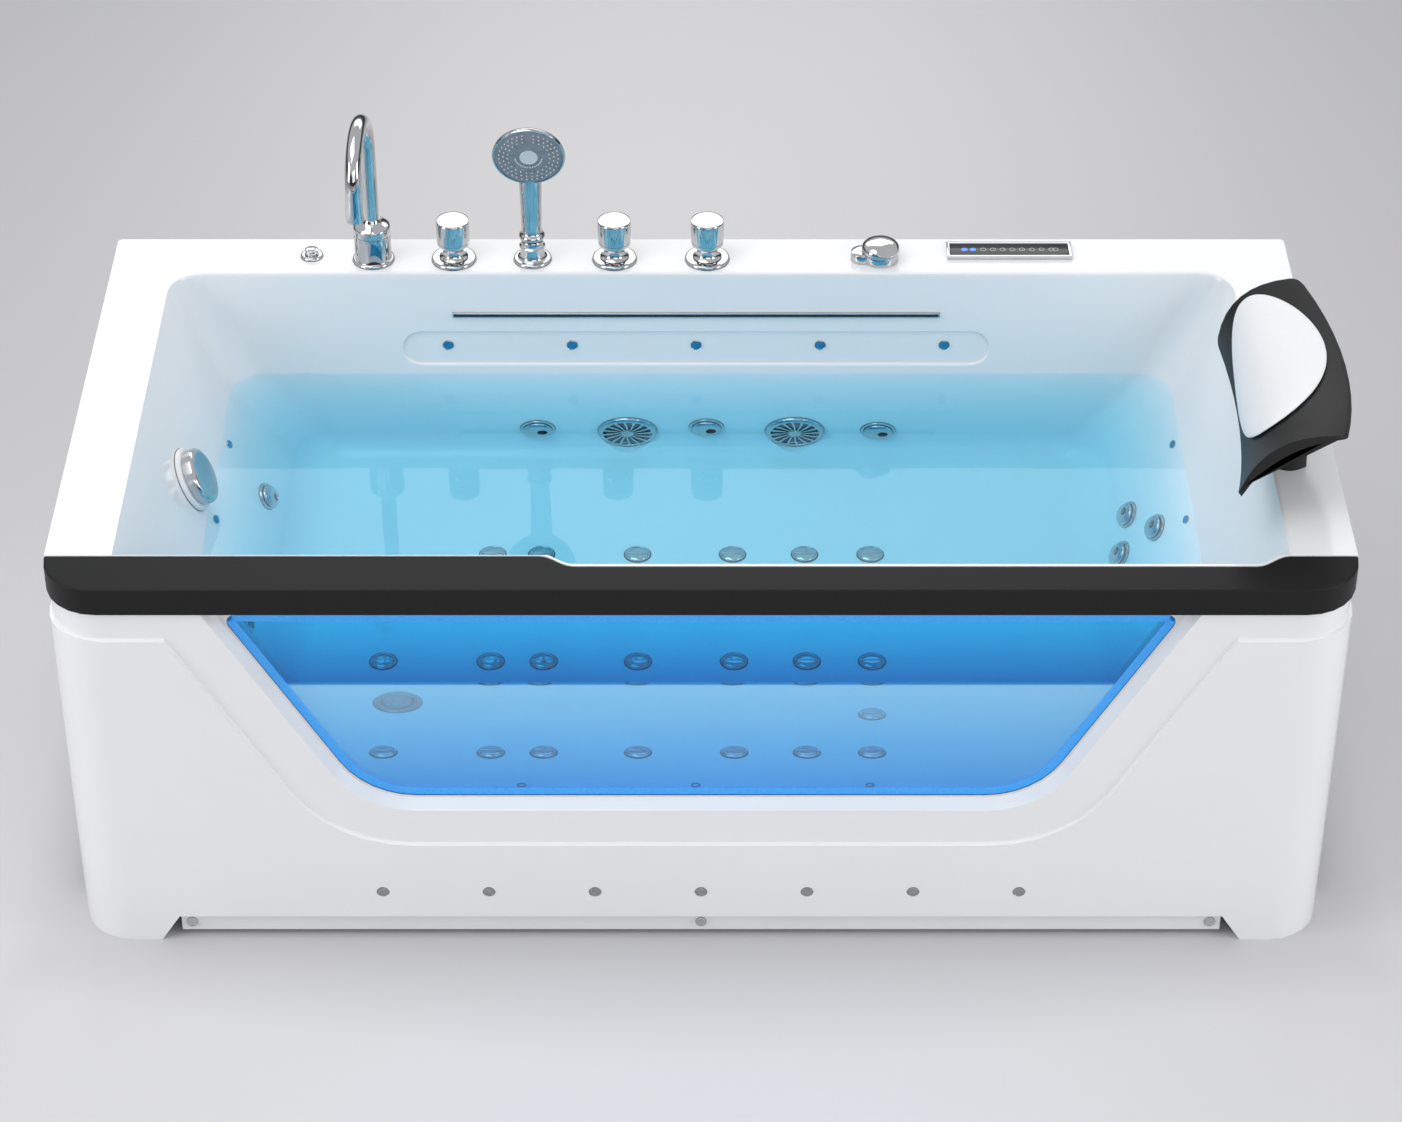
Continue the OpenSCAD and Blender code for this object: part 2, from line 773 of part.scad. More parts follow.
module tub_shell() {
    color("white")
        difference() {
            union() {
                tub_skin();
                deck_and_rim();
                window_prism(
                    glass_back, front_at(win_z),
                    shell_t - glass_lap, shell_t - glass_lap, win_top - glass_lap + shell_t, win_top_r
                );
            }
            window_prism(
                glass_back - over, front_at(win_z) + rim_r,
                -glass_lap, -glass_lap, win_top - glass_lap, win_top_r
            );
            translate([0, 0, arm_z]) linear_extrude(height = lip_h + over) polygon(armrest_plan(pass_gap));
            translate([fall_x, back_y + recess_d, recess_z])
                rotate([90, 0, 0])
                linear_extrude(height = recess_d + over)
                polygon(rounded(
                    rect(recess_l / 2, -recess_h / 2, recess_h / 2),
                    (recess_h / 2 - over) * [1, 1, 1, 1]
                ));
            shell_bores();
        }
}

// Skirt
// The seat of a lamp's rim, sunk flush in the front face
module on_skirt(x) {
    translate([x, -tub_w / 2 + lamp_h, skirt_lamp_z]) rotate([90, 0, 0]) children();
}
module skirt_block(plan0, plan1) {
    linear_extrude(height = step_z) polygon(plan0);
    translate([0, 0, step_z]) linear_extrude(height = panel_top - step_z) polygon(plan1);
}
module front_skirt() {
    y0 = -tub_w / 2;
    foot_x = tub_l / 2 - foot_w;
    cut_d = skirt_t + front_r;
    color("white")
        difference() {
            union() {
                skirt_block(skirt_plan(0), skirt_plan(step_d));
                window_prism(skirt_in - over, seal_front, collar_w, collar_w, shelf_z - pass_gap);
            }
            window_prism(y0 - over, y0 + step_d, band_side, band_low, panel_top + over);
            hull() {
                window_prism(y0 + step_d - over, y0 + step_d, chamfer_h, chamfer_h, panel_top + over);
                window_prism(seal_front, seal_front + over, -over, -over, panel_top + over);
            }
            translate([0, y0 + cut_d, 0])
                rotate([90, 0, 0])
                linear_extrude(height = cut_d + over)
                polygon([
                    [-foot_x, -over], [foot_x, -over], [foot_x, 0], [foot_x - foot_slope, foot_h],
                    [-foot_x + foot_slope, foot_h], [-foot_x, 0]
                ]);
            for (i = [-3:3]) on_skirt(i * skirt_lamp_gap) {
                disc(lamp_bore + 2 * pass_gap, -skirt_t, lamp_h);
                disc(lamp_d + 2 * pass_gap, 0, lamp_h + over);
            }
        }
}
// A side panel; s is the end that it stands at
module side_panel(s) {
    x = tub_l / 2;
    y0 = wrap_y + pass_gap;
    y1 = tub_w / 2;
    back_foot = y1 - foot_w;
    color("white")
        difference() {
            skirt_block(
                [[s * x, y0], [s * x, y1], [s * (x - skirt_t), y1], [s * (x - skirt_t), y0]],
                [[s * (x - step_d), y0], [s * (x - step_d), y1], [s * (x - skirt_t), y1], [s * (x - skirt_t), y0]]
            );
            translate([s * x - 2 * skirt_t, 0, 0])
                rotate([90, 0, 90])
                linear_extrude(height = 4 * skirt_t)
                polygon([
                    [y0 - over, -over], [back_foot, -over], [back_foot, 0],
                    [back_foot - foot_slope, foot_h], [y0 + foot_slope, foot_h], [y0 - over, foot_h]
                ]);
        }
}
module left_panel() {
    side_panel(-1);
}
module right_panel() {
    side_panel(1);
}
module plinth() {
    y = -tub_w / 2 + plinth_d;
    color("whitesmoke")
        translate([-plinth_half, y, plinth_gap])
        cube([2 * plinth_half, plinth_t, foot_h - plinth_gap]);
}
module plinth_screws() {
    color("silver")
        for (i = [-1:1])
        translate([i * (plinth_half - cap_end), -tub_w / 2 + plinth_d, (plinth_gap + foot_h) / 2])
        rotate([90, 0, 0])
        stud(cap_d, 0, cap_h, cap_h / 3);
}

// Lamps
module lamp() {
    disc(lamp_bore, -lamp_l, 0);
    stud(lamp_d, 0, lamp_h, lamp_h / 3);
}
module skirt_lamps() {
    color("silver") for (i = [-3:3]) on_skirt(i * skirt_lamp_gap) lamp();
}
module basin_lamps() {
    color("deepskyblue") {
        for (i = [-2:2])
            on_back(fall_x + i * fall_lamp_gap, fall_lamp_z)
            translate([0, 0, -recess_d])
            lamp();
        for (s = [-1, 1], y = end_lamp_y) on_end(s, y, end_lamp_z) lamp();
    }
}

// Window
module window_glass() {
    side = shell_t - glass_lap;
    color("lightblue", 0.5) window_prism(glass_front, glass_back, side, side, win_top + side, win_top_r);
}
module window_trim() {
    inner = -glass_lap + over;
    color("dimgray")
        difference() {
            window_prism(seal_front, glass_front, seal_over, seal_over, win_top + glass_lap / 2, win_top_r);
            window_prism(seal_front - over, glass_front + over, inner, inner, win_top + inner, win_top_r);
        }
}
module window_studs() {
    y = (glass_back + front_at(win_z)) / 2;
    color("silver")
        for (i = [-1:1])
        translate([win_mid_x + i * stud_gap, y, win_z + glass_lap])
        stud(stud_d, 0, stud_h, stud_h / 2);
}

// Armrest
module armrest() {
    color("#262626") translate([0, 0, arm_z]) linear_extrude(height = lip_h) polygon(armrest_plan(0));
}

// Waterfall
module waterfall_spout() {
    lip = fall_gap + 2 * fall_lip_t;
    y = back_y + shell_t + pass_gap;
    color("silver")
        difference() {
            union() {
                translate([fall_x - fall_l / 2, back_y - fall_lip, fall_z - lip / 2])
                    cube([fall_l, y - back_y + fall_lip, lip]);
                translate([fall_x - fall_l / 2, y, fall_z - fall_box_h / 2])
                    cube([fall_l, fall_box_d, fall_box_h]);
            }
            translate([fall_x - fall_l / 2 + fall_lip_t, back_y - fall_lip - over, fall_z - fall_gap / 2])
                cube([fall_l - 2 * fall_lip_t, y - back_y + fall_lip + 2 * over, fall_gap]);
        }
}

// Jets
nozzle_z = jet_h + pass_gap;
module jet_housings() {
    nut_z = -shell_t - pass_gap;
    color("silver")
        for (j = jets)
        on_wall(j)
        difference() {
            union() {
                disc(jet_barrel, -jet_l, over / 2);
                disc(jet_d, nut_z - jet_h * 2, nut_z);
                stud(jet_d, turn_gap, jet_h, jet_h / 3);
            }
            disc(nozzle_d + 2 * turn_gap, jet_h - nozzle_l, jet_h + over);
            disc(mouth_d, -jet_l + 2 * jet_h, jet_h);
        }
}
module jet_nozzle(i) {
    c = dome_h / 2;
    color("silver")
        on_wall(jets[i - 1])
        difference() {
            union() {
                disc(nozzle_d, jet_h - nozzle_l + pass_gap, nozzle_z + over);
                stud(dome_d, nozzle_z, nozzle_z + dome_h / 2, c / 2);
                stud(dome_d - c, nozzle_z, nozzle_z + dome_h, c);
            }
            translate([mouth_off, 0, 0]) disc(mouth_d, 0, nozzle_z + dome_h + over);
        }
}
module jet_nozzle_1() {
    jet_nozzle(1);
}
module jet_nozzle_2() {
    jet_nozzle(2);
}
module jet_nozzle_3() {
    jet_nozzle(3);
}
module jet_nozzle_4() {
    jet_nozzle(4);
}
module jet_nozzle_5() {
    jet_nozzle(5);
}
module jet_nozzle_6() {
    jet_nozzle(6);
}
module jet_nozzle_7() {
    jet_nozzle(7);
}
module jet_nozzle_8() {
    jet_nozzle(8);
}
module suction_grilles() {
    slot_l = grille_d / 4;
    color("silver")
        for (g = grilles)
        on_back(g[0], g[1])
        difference() {
            union() {
                disc(grille_barrel, -jet_l, over / 2);
                stud(grille_d, turn_gap, grille_h, grille_h / 2);
            }
            for (k = [0:grille_n - 1])
                rotate([0, 0, k * 360 / grille_n])
                translate([grille_d / 7, -over, grille_h / 3])
                cube([slot_l, 2 * over, grille_h]);
        }
}
module floor_air_jets() {
    bar = floor_cap_h / 4;
    color("silver")
        on_floor() {
            disc(floor_stem, -shell_t - floor_stem, over / 2);
            stud(floor_cap, 0, floor_cap_h - bar, bar);
            translate([-floor_cap / 3, -bar, floor_cap_h - 2 * bar])
                cube([2 * floor_cap / 3, 2 * bar, 2 * bar]);
        }
}

// Drain and overflow
drain_bottom = floor_z - shell_t - plug_d;
over_pipe_z = drain_bottom + over_pipe / 2 - pass_gap;
module at_drain(z) {
    translate([drain_at[0], drain_at[1], z]) children();
}
module drain_body() {
    color("silver")
        difference() {
            union() {
                at_drain(floor_z) stud(drain_d, 0, drain_h, drain_h / 2);
                at_drain(drain_bottom) disc(drain_barrel, 0, floor_z - drain_bottom + over / 2);
                at_drain(tail_z) disc(tail_d, 0, drain_bottom - tail_z + over / 2);
            }
            at_drain(floor_z) disc(plug_d + 2 * pass_gap, -plug_d / 2, drain_h + over);
            at_drain(drain_bottom) disc(plug_stem + 2 * turn_gap, -plug_d / 2, floor_z - drain_bottom);
            for (a = [45, 135, 225, 315])
                at_drain(drain_bottom + plug_stem)
                rotate([0, 0, a])
                translate([plug_d / 4 + turn_gap, 0, 0])
                disc(plug_stem, -plug_d / 2, floor_z - drain_bottom);
            at_drain(tail_z) disc(tail_d - shell_t, -over, drain_bottom - tail_z - plug_d / 4);
        }
}
module drain_plug() {
    color("silver")
        at_drain(floor_z) {
            disc(plug_d, -flange_h, drain_h);
            disc(plug_stem, -plug_d - flange_h, -flange_h + over / 2);
            disc(plug_d / 2, drain_h - over / 2, drain_h + over);
        }
}
module overflow_body() {
    nut_z = -shell_t - pass_gap;
    color("white")
        on_end(-1, over_y, over_z)
        difference() {
            union() {
                stud(over_collar, 0, over_collar_h, over_collar_h / 3);
                disc(over_barrel, -over_l, over / 2);
                disc(over_collar, nut_z - over_collar_h, nut_z);
            }
            disc(over_shaft + 2 * turn_gap, -over_l / 2, over_collar_h + over);
        }
}
module overflow_dial() {
    z0 = over_collar_h + pass_gap;
    color("silver")
        on_end(-1, over_y, over_z) {
            difference() {
                union() {
                    disc(over_dial, z0, z0 + over_dial_h / 3);
                    stud(over_dial, z0, z0 + over_dial_h, over_dial_h / 4);
                }
                for (k = [0:2])
                    rotate([0, 0, k * 120])
                    translate([over_dial / 2 + over_shaft / 4, 0, 0])
                    disc(3 * over_shaft / 2, z0 + over_dial_h / 2, z0 + over_dial_h + over);
            }
            disc(over_shaft, -over_l / 2 + over, z0 + over / 2);
        }
}
// The overflow pipe leaves the foot of its barrel, drops and runs to the drain
module overflow_pipe() {
    far = over_l + over_pipe / 2;
    x0 = -wall_x(over_z) - far * cos(end_slope);
    z0 = over_z - far * sin(end_slope);
    color("gray")
        difference() {
            run(
                [
                    [x0 + over_pipe / 2 * cos(end_slope), over_y, z0 + over_pipe / 2 * sin(end_slope)],
                    [x0, over_y, z0],
                    [x0, over_y, over_pipe_z],
                    [drain_at[0] - drain_barrel / 2 + flange_h, drain_at[1], over_pipe_z]
                ],
                over_pipe
            );
            at_drain(drain_bottom) disc(drain_barrel, -over_pipe, over_pipe * 2);
        }
}

// Valves
module deck_shank(x, d, bore, depth) {
    difference() {
        union() {
            on_deck(x) disc(shank_d, -shell_t - shank_l, over / 2);
            on_deck(x) disc(shank_d + 2 * flange_h, -shell_t - pass_gap - 2 * flange_h, -shell_t - pass_gap);
            on_deck(x) stud(d, 0, flange_h, flange_h / 3);
            children();
        }
        on_deck(x) disc(bore + 2 * turn_gap, -depth, spout_top);
    }
}
module valve(i) {
    color("silver") {
        deck_shank(valve_x[i], valve_flange, stem_d, stem_l);
        if (i < 2)
            translate([valve_x[i], row_y, rim_h - shell_t - shank_l + inlet_d / 2])
            rotate([-90, 0, 0]) {
                disc(inlet_d + flange_h, 0, shank_d / 2 + flange_h / 2);
                disc(inlet_d, 0, shank_d / 2 + inlet_l);
            }
    }
}
module knob(i) {
    z0 = flange_h + pass_gap;
    waist = neck_d - 2 * flange_h;
    color("silver")
        on_deck(valve_x[i]) {
            disc(stem_d, -stem_l + over, z0 + over / 2);
            translate([0, 0, z0]) cylinder(d1 = neck_d + 2 * flange_h, d2 = waist, h = neck_h / 2);
            translate([0, 0, z0 + neck_h / 2]) cylinder(d1 = waist, d2 = neck_d, h = neck_h / 2);
            disc(knob_d, z0 + neck_h - flange_h / 2, z0 + neck_h + knob_h / 2);
            stud(knob_d, z0 + neck_h, z0 + neck_h + knob_h, flange_h / 2);
        }
}
module hot_valve() {
    valve(0);
}
module cold_valve() {
    valve(1);
}
module diverter_valve() {
    valve(2);
}
module hot_knob() {
    knob(0);
}
module cold_knob() {
    knob(1);
}
module diverter_knob() {
    knob(2);
}

// Spout
module spout_base() {
    color("silver")
        deck_shank(spout_x, spout_flange, pivot_d, -(spout_base_h - pivot_l))
        on_deck(spout_x) disc(spout_body, flange_h / 2, spout_base_h);
}
module spout() {
    z0 = spout_base_h + pass_gap;
    bend = spout_reach / 2;
    z1 = spout_top - bend - spout_tube / 2;
    color("silver")
        on_deck(spout_x)
        rotate([0, 0, spout_turn - 90]) {
            disc(pivot_d, spout_base_h - pivot_l + pass_gap, z0 + over / 2);
            disc(spout_body, z0, z0 + spout_shoulder_h / 2);
            translate([0, 0, z0 + spout_shoulder_h / 2])
                cylinder(d1 = spout_body, d2 = spout_tube + flange_h, h = spout_shoulder_h / 2);
            disc(spout_tube, z0 + spout_shoulder_h - over, z1);
            translate([bend, 0, z1])
                rotate([90, 0, 0])
                rotate_extrude(angle = 180)
                translate([bend, 0])
                circle(d = spout_tube);
            difference() {
                translate([spout_reach, 0, spout_end])
                    cylinder(d1 = spout_mouth, d2 = spout_tube, h = z1 - spout_end);
                translate([spout_reach, 0, spout_end])
                    disc(spout_tube - flange_h, -over, spout_mouth);
            }
        }
}

// Hand shower
module shower_holder() {
    color("silver")
        deck_shank(shower_x, shower_flange, shower_tail, shell_t + shank_l + over)
        on_deck(shower_x) disc(socket_d, flange_h / 2, socket_h);
}
module head_frame() {
    on_deck(shower_x)
        translate([0, -head_t, head_z])
        rotate([90 + head_tip, 0, 0])
        children();
}
module shower_handset() {
    z0 = socket_h + ring_d;
    neck = (handle_top - z0) / 2;
    color("silver")
        difference() {
            union() {
                on_deck(shower_x) {
                    disc(shower_tail, -shell_t - shank_l, z0 + over);
                    disc(handle_d, z0, z0 + neck);
                    translate([0, 0, z0 + neck])
                        cylinder(d1 = handle_d, d2 = handle_d * (1 - corner_share / 2), h = neck);
                    translate([0, 0, handle_top - over]) sphere(d = handle_d * (1 - corner_share / 2));
                    disc(handle_d - 2 * flange_h, handle_top - over, head_z);
                }
                head_frame() {
                    disc(head_d, 0, head_t / 2);
                    translate([0, 0, -head_t / 2]) cylinder(d1 = handle_d, d2 = head_d, h = head_t / 2);
                }
            }
            head_frame() disc(face_d, head_t / 2 - face_t, head_t);
        }
}
module shower_face() {
    ring_n = 3;
    dot_share = 0.8;
    spread = face_d / (2 * ring_n + elbow_share);
    color("lightgray")
        head_frame() {
            disc(face_d - 2 * pass_gap, head_t / 2 - face_t, head_t / 2 + over / 2);
            for (r = [1:ring_n], k = [1:6 * r])
                rotate([0, 0, k * 60 / r])
                translate([r * spread, 0, head_t / 2])
                disc(ring_d * dot_share, 0, over, $fn = 16);
        }
}
module shower_ring() {
    color("#1a1a1a")
        on_deck(shower_x)
        translate([0, 0, socket_h + ring_d / 2])
        difference() {
            disc(socket_d - flange_h, -ring_d / 2, ring_d / 2);
            disc(shower_tail + 2 * pass_gap, -ring_d, ring_d);
        }
}

// Air button
module button_base() {
    well = button_d + 2 * turn_gap;
    color("silver")
        on_deck(button_x, button_y)
        difference() {
            union() {
                stud(button_flange, 0, flange_h, flange_h / 3);
                disc(button_d + 2 * button_wall, -shank_l / 2, over / 2);
            }
            disc(well, -button_travel - flange_h - pass_gap, flange_h + over);
        }
}
module air_button() {
    color("silver") on_deck(button_x, button_y) stud(button_d, -flange_h, button_h, over);
}

// Air control
module air_control_base() {
    color("silver")
        difference() {
            union() {
                deck_shank(air_x, lobe_big, stem_d, stem_l);
                on_deck(air_x) stud(lobe_big, 0, air_base_h, over);
                on_deck(air_x)
                    translate([-lobe_gap, 0, 0])
                    stud(lobe_small, 0, air_base_h, over);
            }
            on_deck(air_x) disc(stem_d + 2 * turn_gap, -stem_l, air_base_h + over);
        }
}
module air_control_dial() {
    z0 = air_base_h + pass_gap;
    color("silver")
        on_deck(air_x) {
            disc(stem_d, -stem_l + over, z0 + over / 2);
            stud(air_cap, z0, z0 + air_cap_h, air_cap_h / 3);
        }
}

// Control panel
module panel_frame() {
    color("silver")
        on_deck(panel_x, panel_y)
        difference() {
            translate([0, -panel_w, 0]) cube([panel_l, panel_w, panel_h]);
            translate([bezel_w, bezel_w - panel_w, panel_h / 3])
                cube([panel_l - 2 * bezel_w, panel_w - 2 * bezel_w, panel_h]);
        }
}
module panel_face() {
    color("#0c0c0e")
        on_deck(panel_x, panel_y)
        translate([bezel_w + pass_gap, bezel_w - panel_w + pass_gap, panel_h / 3])
        cube([
            panel_l - 2 * bezel_w - 2 * pass_gap,
            panel_w - 2 * bezel_w - 2 * pass_gap,
            panel_h * 2 / 3 - face_drop
        ]);
}

// Pillow
edge_share = 0.45;
pillow_r_share = 0.5;
pillow_r = pillow_t * pillow_r_share;
pad_n = 32;
foot_in_share = 0.62;
pad_shift = pillow_l / 12;

// A point of the saddle: u and v run from -1 to 1, up is along its normal
function saddle(u, v, up) =
    let (
        a = pillow_tilt + pillow_twist * v,
        half = pillow_w / 2 * (1 - pillow_taper * v + (u > 0 ? pillow_bulge * (1 - v * v) : 0)),
        rise = saddle_up * (1 - u * u) - saddle_dip * (1 - v * v) + up
    )
    pillow_at + [cos(a) * u * half - sin(a) * rise, v * pillow_l / 2, sin(a) * u * half + cos(a) * rise];
function pillow_ring(y, half) =
    let (
        steps = [for (i = [0:8]) i / 4 - 1],
        k = half * 2 / pillow_w,
        v = y * 2 / pillow_l
    )
    concat(
        [for (s = steps) saddle(s * k, v, 0)],
        [for (s = steps) saddle(-s * k, v, -pillow_t * (1 - (1 - edge_share) * s * s))]
    );
module pillow_frame() {
    turn = [for (a = [0:30:90]) [pillow_l / 2 - pillow_r * (1 - cos(a)), pillow_w / 2 - pillow_r * (1 - sin(a))]];
    mid = pillow_l / 2 - pillow_r;
    color("#1c1c1e")
        lofted(concat(
            [for (i = [0:3]) pillow_ring(-turn[i][0], turn[i][1])],
            [for (i = [1:9]) pillow_ring(-mid + i * mid / 5, pillow_w / 2)],
            [for (i = [3:-1:0]) pillow_ring(turn[i][0], turn[i][1])]
        ));
}
// A ring of the pad: share of its outline and height over the saddle
function pad_ring(share, up) = [
    for (i = [0:pad_n - 1])
        let (
            a = i * 360 / pad_n,
            x = cos(a) * share * pad_w / 2,
            y = sin(a) * share * pad_l / 2
        )
        saddle(
            (x * cos(pad_turn) + y * sin(pad_turn)) * 2 / pillow_w * inner_share,
            (y * cos(pad_turn) - x * sin(pad_turn) + pad_shift) * 2 / pillow_l,
            pad_seat + up
        )
];
// The pad's rings as shares of its outline and of its crown
pad_ring_shares = [
    [0.05, 0], [0.3, 0], [0.55, 0], [0.78, 0], [0.94, 0], [1, 0.22], [0.99, 0.42], [0.94, 0.58], [0.84, 0.74],
    [0.66, 0.88], [0.42, 0.97], [0.2, 1], [0.05, 1]
];
inner_share = 0.95;
module pillow_pad() {
    color("white") lofted([for (r = pad_ring_shares) pad_ring(r[0], r[1] * pad_h)]);
}
// The foot's rings as shares of the way up
foot_ring_shares = [0, 0.15, 0.35, 0.6, 0.8, 1];
function foot_base(a) =
    let (c = cos(a), s = sin(a), m = max(abs(c), abs(s)), k = (1 + 1 / m) / 2)
    [
        pillow_at[0] + sin(pillow_tilt) * pillow_foot_d * foot_in_share + c * k * pillow_foot_d / 2,
        pillow_at[1] + s * k * pillow_foot_l / 2,
        rim_h
    ];
function foot_top(a, share) =
    saddle(
        cos(a) * share * pillow_foot_d / pillow_w,
        sin(a) * share * pillow_foot_l / pillow_l,
        -pillow_t - pass_gap
    );
function foot_ring(s) = [
    for (i = [0:pad_n - 1])
        let (a = i * 360 / pad_n, p = foot_base(a), q = foot_top(a, 1), k = s * s)
        [p[0] + (q[0] - p[0]) * k, p[1] + (q[1] - p[1]) * k, p[2] + (q[2] - p[2]) * s]
];
module pillow_foot() {
    color("#1c1c1e")
        lofted(concat(
            [for (s = foot_ring_shares) foot_ring(s)],
            [for (r = [0.5, 0.05]) [for (i = [0:pad_n - 1]) foot_top(i * 360 / pad_n, r)]]
        ));
}

// Machinery
rail_x = tub_l / 2 - skirt_t - tube_w / 2 - 8 * pass_gap;
back_rail = tub_w / 2 - shell_t - tube_w / 2 - pass_gap;
front_rail = skirt_in + lamp_l - skirt_t + tube_w / 2 + flange_h;
post_y = deck_front + tube_w;
cross_x = machine_x - volute_d / 2 - 2 * tube_w / 3;
cradle_x = (cross_x - tube_w) / 2;
cradle_y = tub_w / 4 + flange_h;
cradle_l = cross_x - 4 * tube_w;
tray_z = frame_z + tube_w;
tray_top = tray_z + tray_t;
machine_z = tray_top + volute_d / 2 + flange_h;
feet_y = front_rail + 3 * tube_w;
box_y = back_rail - tube_w / 2 - jet_l - box_size[1];
foot_places = [for (x = [-cross_x, 0, cross_x], y = [-1, 1]) [x, y * abs(feet_y)]];

// A square bar between two points on one axis; z is its underside
module bar(a, b) {
    h = tube_w / 2;
    translate([min(a[0], b[0]) - h, min(a[1], b[1]) - h, min(a[2], b[2])])
        cube([abs(a[0] - b[0]) + tube_w, abs(a[1] - b[1]) + tube_w, abs(a[2] - b[2]) + tube_w]);
}
module tray(s, y0, y1) {
    translate([s > 0 ? cross_x - tube_w / 2 : -rail_x - tube_w / 2, y0, tray_z])
        cube([rail_x - cross_x + tube_w, y1 - y0, tray_t]);
}
module steel_frame() {
    z1 = rim_h - shell_t - tube_w;
    cradle_z = floor_z - shell_t - tube_w;
    color("#5b6066")
        difference() {
            union() {
                for (s = [-1, 1]) {
                    bar([s * rail_x, post_y, frame_z], [s * rail_x, back_rail, frame_z]);
                    bar([s * cross_x, post_y, frame_z], [s * rail_x, post_y, frame_z]);
                    for (y = [post_y, back_rail]) bar([s * rail_x, y, frame_z], [s * rail_x, y, z1]);
                    bar([-cradle_l, s * cradle_y, cradle_z], [cradle_l, s * cradle_y, cradle_z]);
                    for (x = [-cradle_x, cradle_x])
                        bar([x, s * cradle_y, frame_z], [x, s * cradle_y, cradle_z - tube_w]);
                    tray(s, post_y, pump_y + volute_w);
                }
                tray(-1, box_y - flange_h, box_y + box_size[1] + flange_h);
                bar([-rail_x, back_rail, frame_z], [rail_x, back_rail, frame_z]);
                bar([-rail_x, back_rail, z1], [rail_x, back_rail, z1]);
                bar([-cross_x, front_rail, frame_z], [cross_x, front_rail, frame_z]);
                for (x = [-cross_x, -cradle_x, 0, cradle_x, cross_x])
                    bar([x, front_rail, frame_z], [x, back_rail, frame_z]);
            }
            for (f = foot_places)
                translate([f[0], f[1], frame_z])
                disc(spindle_d + 2 * pass_gap, -over, tube_w - tray_t);
        }
}
module levelling_feet() {
    color("dimgray")
        for (f = foot_places)
        translate([f[0], f[1], 0]) {
            stud(pad_d, 0, pad_t, pad_t / 3);
            disc(spindle_d, pad_t - over, tray_z - 2 * tray_t);
            disc(spindle_d * 2, frame_z - spindle_d / 2, frame_z, $fn = 6);
        }
}
// A frame whose z axis runs back along the machines' shafts
module on_shaft(s, y) {
    translate([s * machine_x, y, machine_z]) rotate([-90, 0, 0]) children();
}
neck_x = volute_d / 4;
pipe_neck = water_pipe + 2 * flange_h;
module pump_body() {
    wall = (volute_w - impeller_w) / 2;
    color("#202428")
        difference() {
            union() {
                on_shaft(1, pump_y) {
                    disc(volute_d, 0, volute_w);
                    disc(pipe_neck, volute_w - over, volute_w + 2 * flange_h);
                }
                translate([machine_x - neck_x, pump_y + volute_w / 2, machine_z])
                    disc(pipe_neck, 0, volute_d / 2 + 2 * flange_h);
            }
            on_shaft(1, pump_y) {
                disc(impeller_d + 2 * flange_h, wall, volute_w - wall);
                disc(shaft_d + 2 * turn_gap, -over, wall + over);
                disc(water_pipe - shell_t, volute_w / 2, volute_w + 3 * flange_h);
            }
            translate([machine_x - neck_x, pump_y + volute_w / 2, machine_z])
                disc(water_pipe - shell_t, 0, volute_d);
        }
}
impeller_w = 26;
shaft_share = 0.8;
module pump_rotor() {
    wall = (volute_w - impeller_w) / 2;
    color("silver")
        on_shaft(1, pump_y) {
            disc(impeller_d, wall + flange_h / 2, volute_w - wall - flange_h / 2);
            disc(shaft_d, -motor_l * shaft_share, wall + flange_h);
        }
}
module pump_motor() {
    fin_n = 24;
    color("#30363c") {
        difference() {
            on_shaft(1, pump_y) {
                disc(motor_d - 2 * flange_h, -motor_l, 0);
                for (k = [0:fin_n - 1])
                    rotate([0, 0, k * 360 / fin_n])
                    translate([0, -over, -motor_l + 4 * flange_h])
                    cube([motor_d / 2, 2 * over, motor_l - 8 * flange_h]);
            }
            on_shaft(1, pump_y) disc(shaft_d + 2 * turn_gap, -motor_l * shaft_share - flange_h, over);
        }
        difference() {
            translate([machine_x - motor_d / 3, pump_y - 3 * motor_l / 4, tray_top])
                cube([motor_d * 2 / 3, motor_l / 2, machine_z - tray_top]);
            on_shaft(1, pump_y) disc(motor_d - 3 * flange_h, -motor_l, 0);
        }
    }
}
blower_y = pump_y - shaft_d;
rotor_d = 3 * blower_d / 4;
module air_blower() {
    wall = 2 * flange_h;
    color("#30363c")
        difference() {
            union() {
                on_shaft(-1, blower_y) {
                    disc(blower_d, -blower_l, 0);
                    disc(air_pipe + 2 * flange_h, -over, 2 * flange_h);
                }
                translate([-machine_x - blower_d / 3, blower_y - 4 * blower_l / 5, tray_top])
                    cube([blower_d * 2 / 3, 3 * blower_l / 5, machine_z - tray_top]);
            }
            on_shaft(-1, blower_y) {
                disc(rotor_d + wall, -blower_l / 2, -wall);
                disc(shaft_d + 2 * turn_gap, -blower_l + wall, -wall);
                disc(air_pipe - flange_h, -wall - over, 3 * flange_h);
            }
        }
}
module blower_rotor() {
    wall = 2 * flange_h;
    color("silver")
        on_shaft(-1, blower_y) {
            disc(rotor_d, -blower_l / 2 + flange_h, -wall - flange_h);
            disc(shaft_d, -blower_l + wall + over, -blower_l / 2 + wall);
        }
}
module control_box() {
    color("#d8d8d4")
        translate([-machine_x - box_size[0] / 2, box_y, tray_top])
        cube(box_size);
}

// Pipes
pipe_gap = 3;
header_y = back_y + jet_l + water_pipe / 2 + pipe_gap;
header_z = jets[0][2];
stub_d = mouth_d + shell_t;
riser_y = 60;
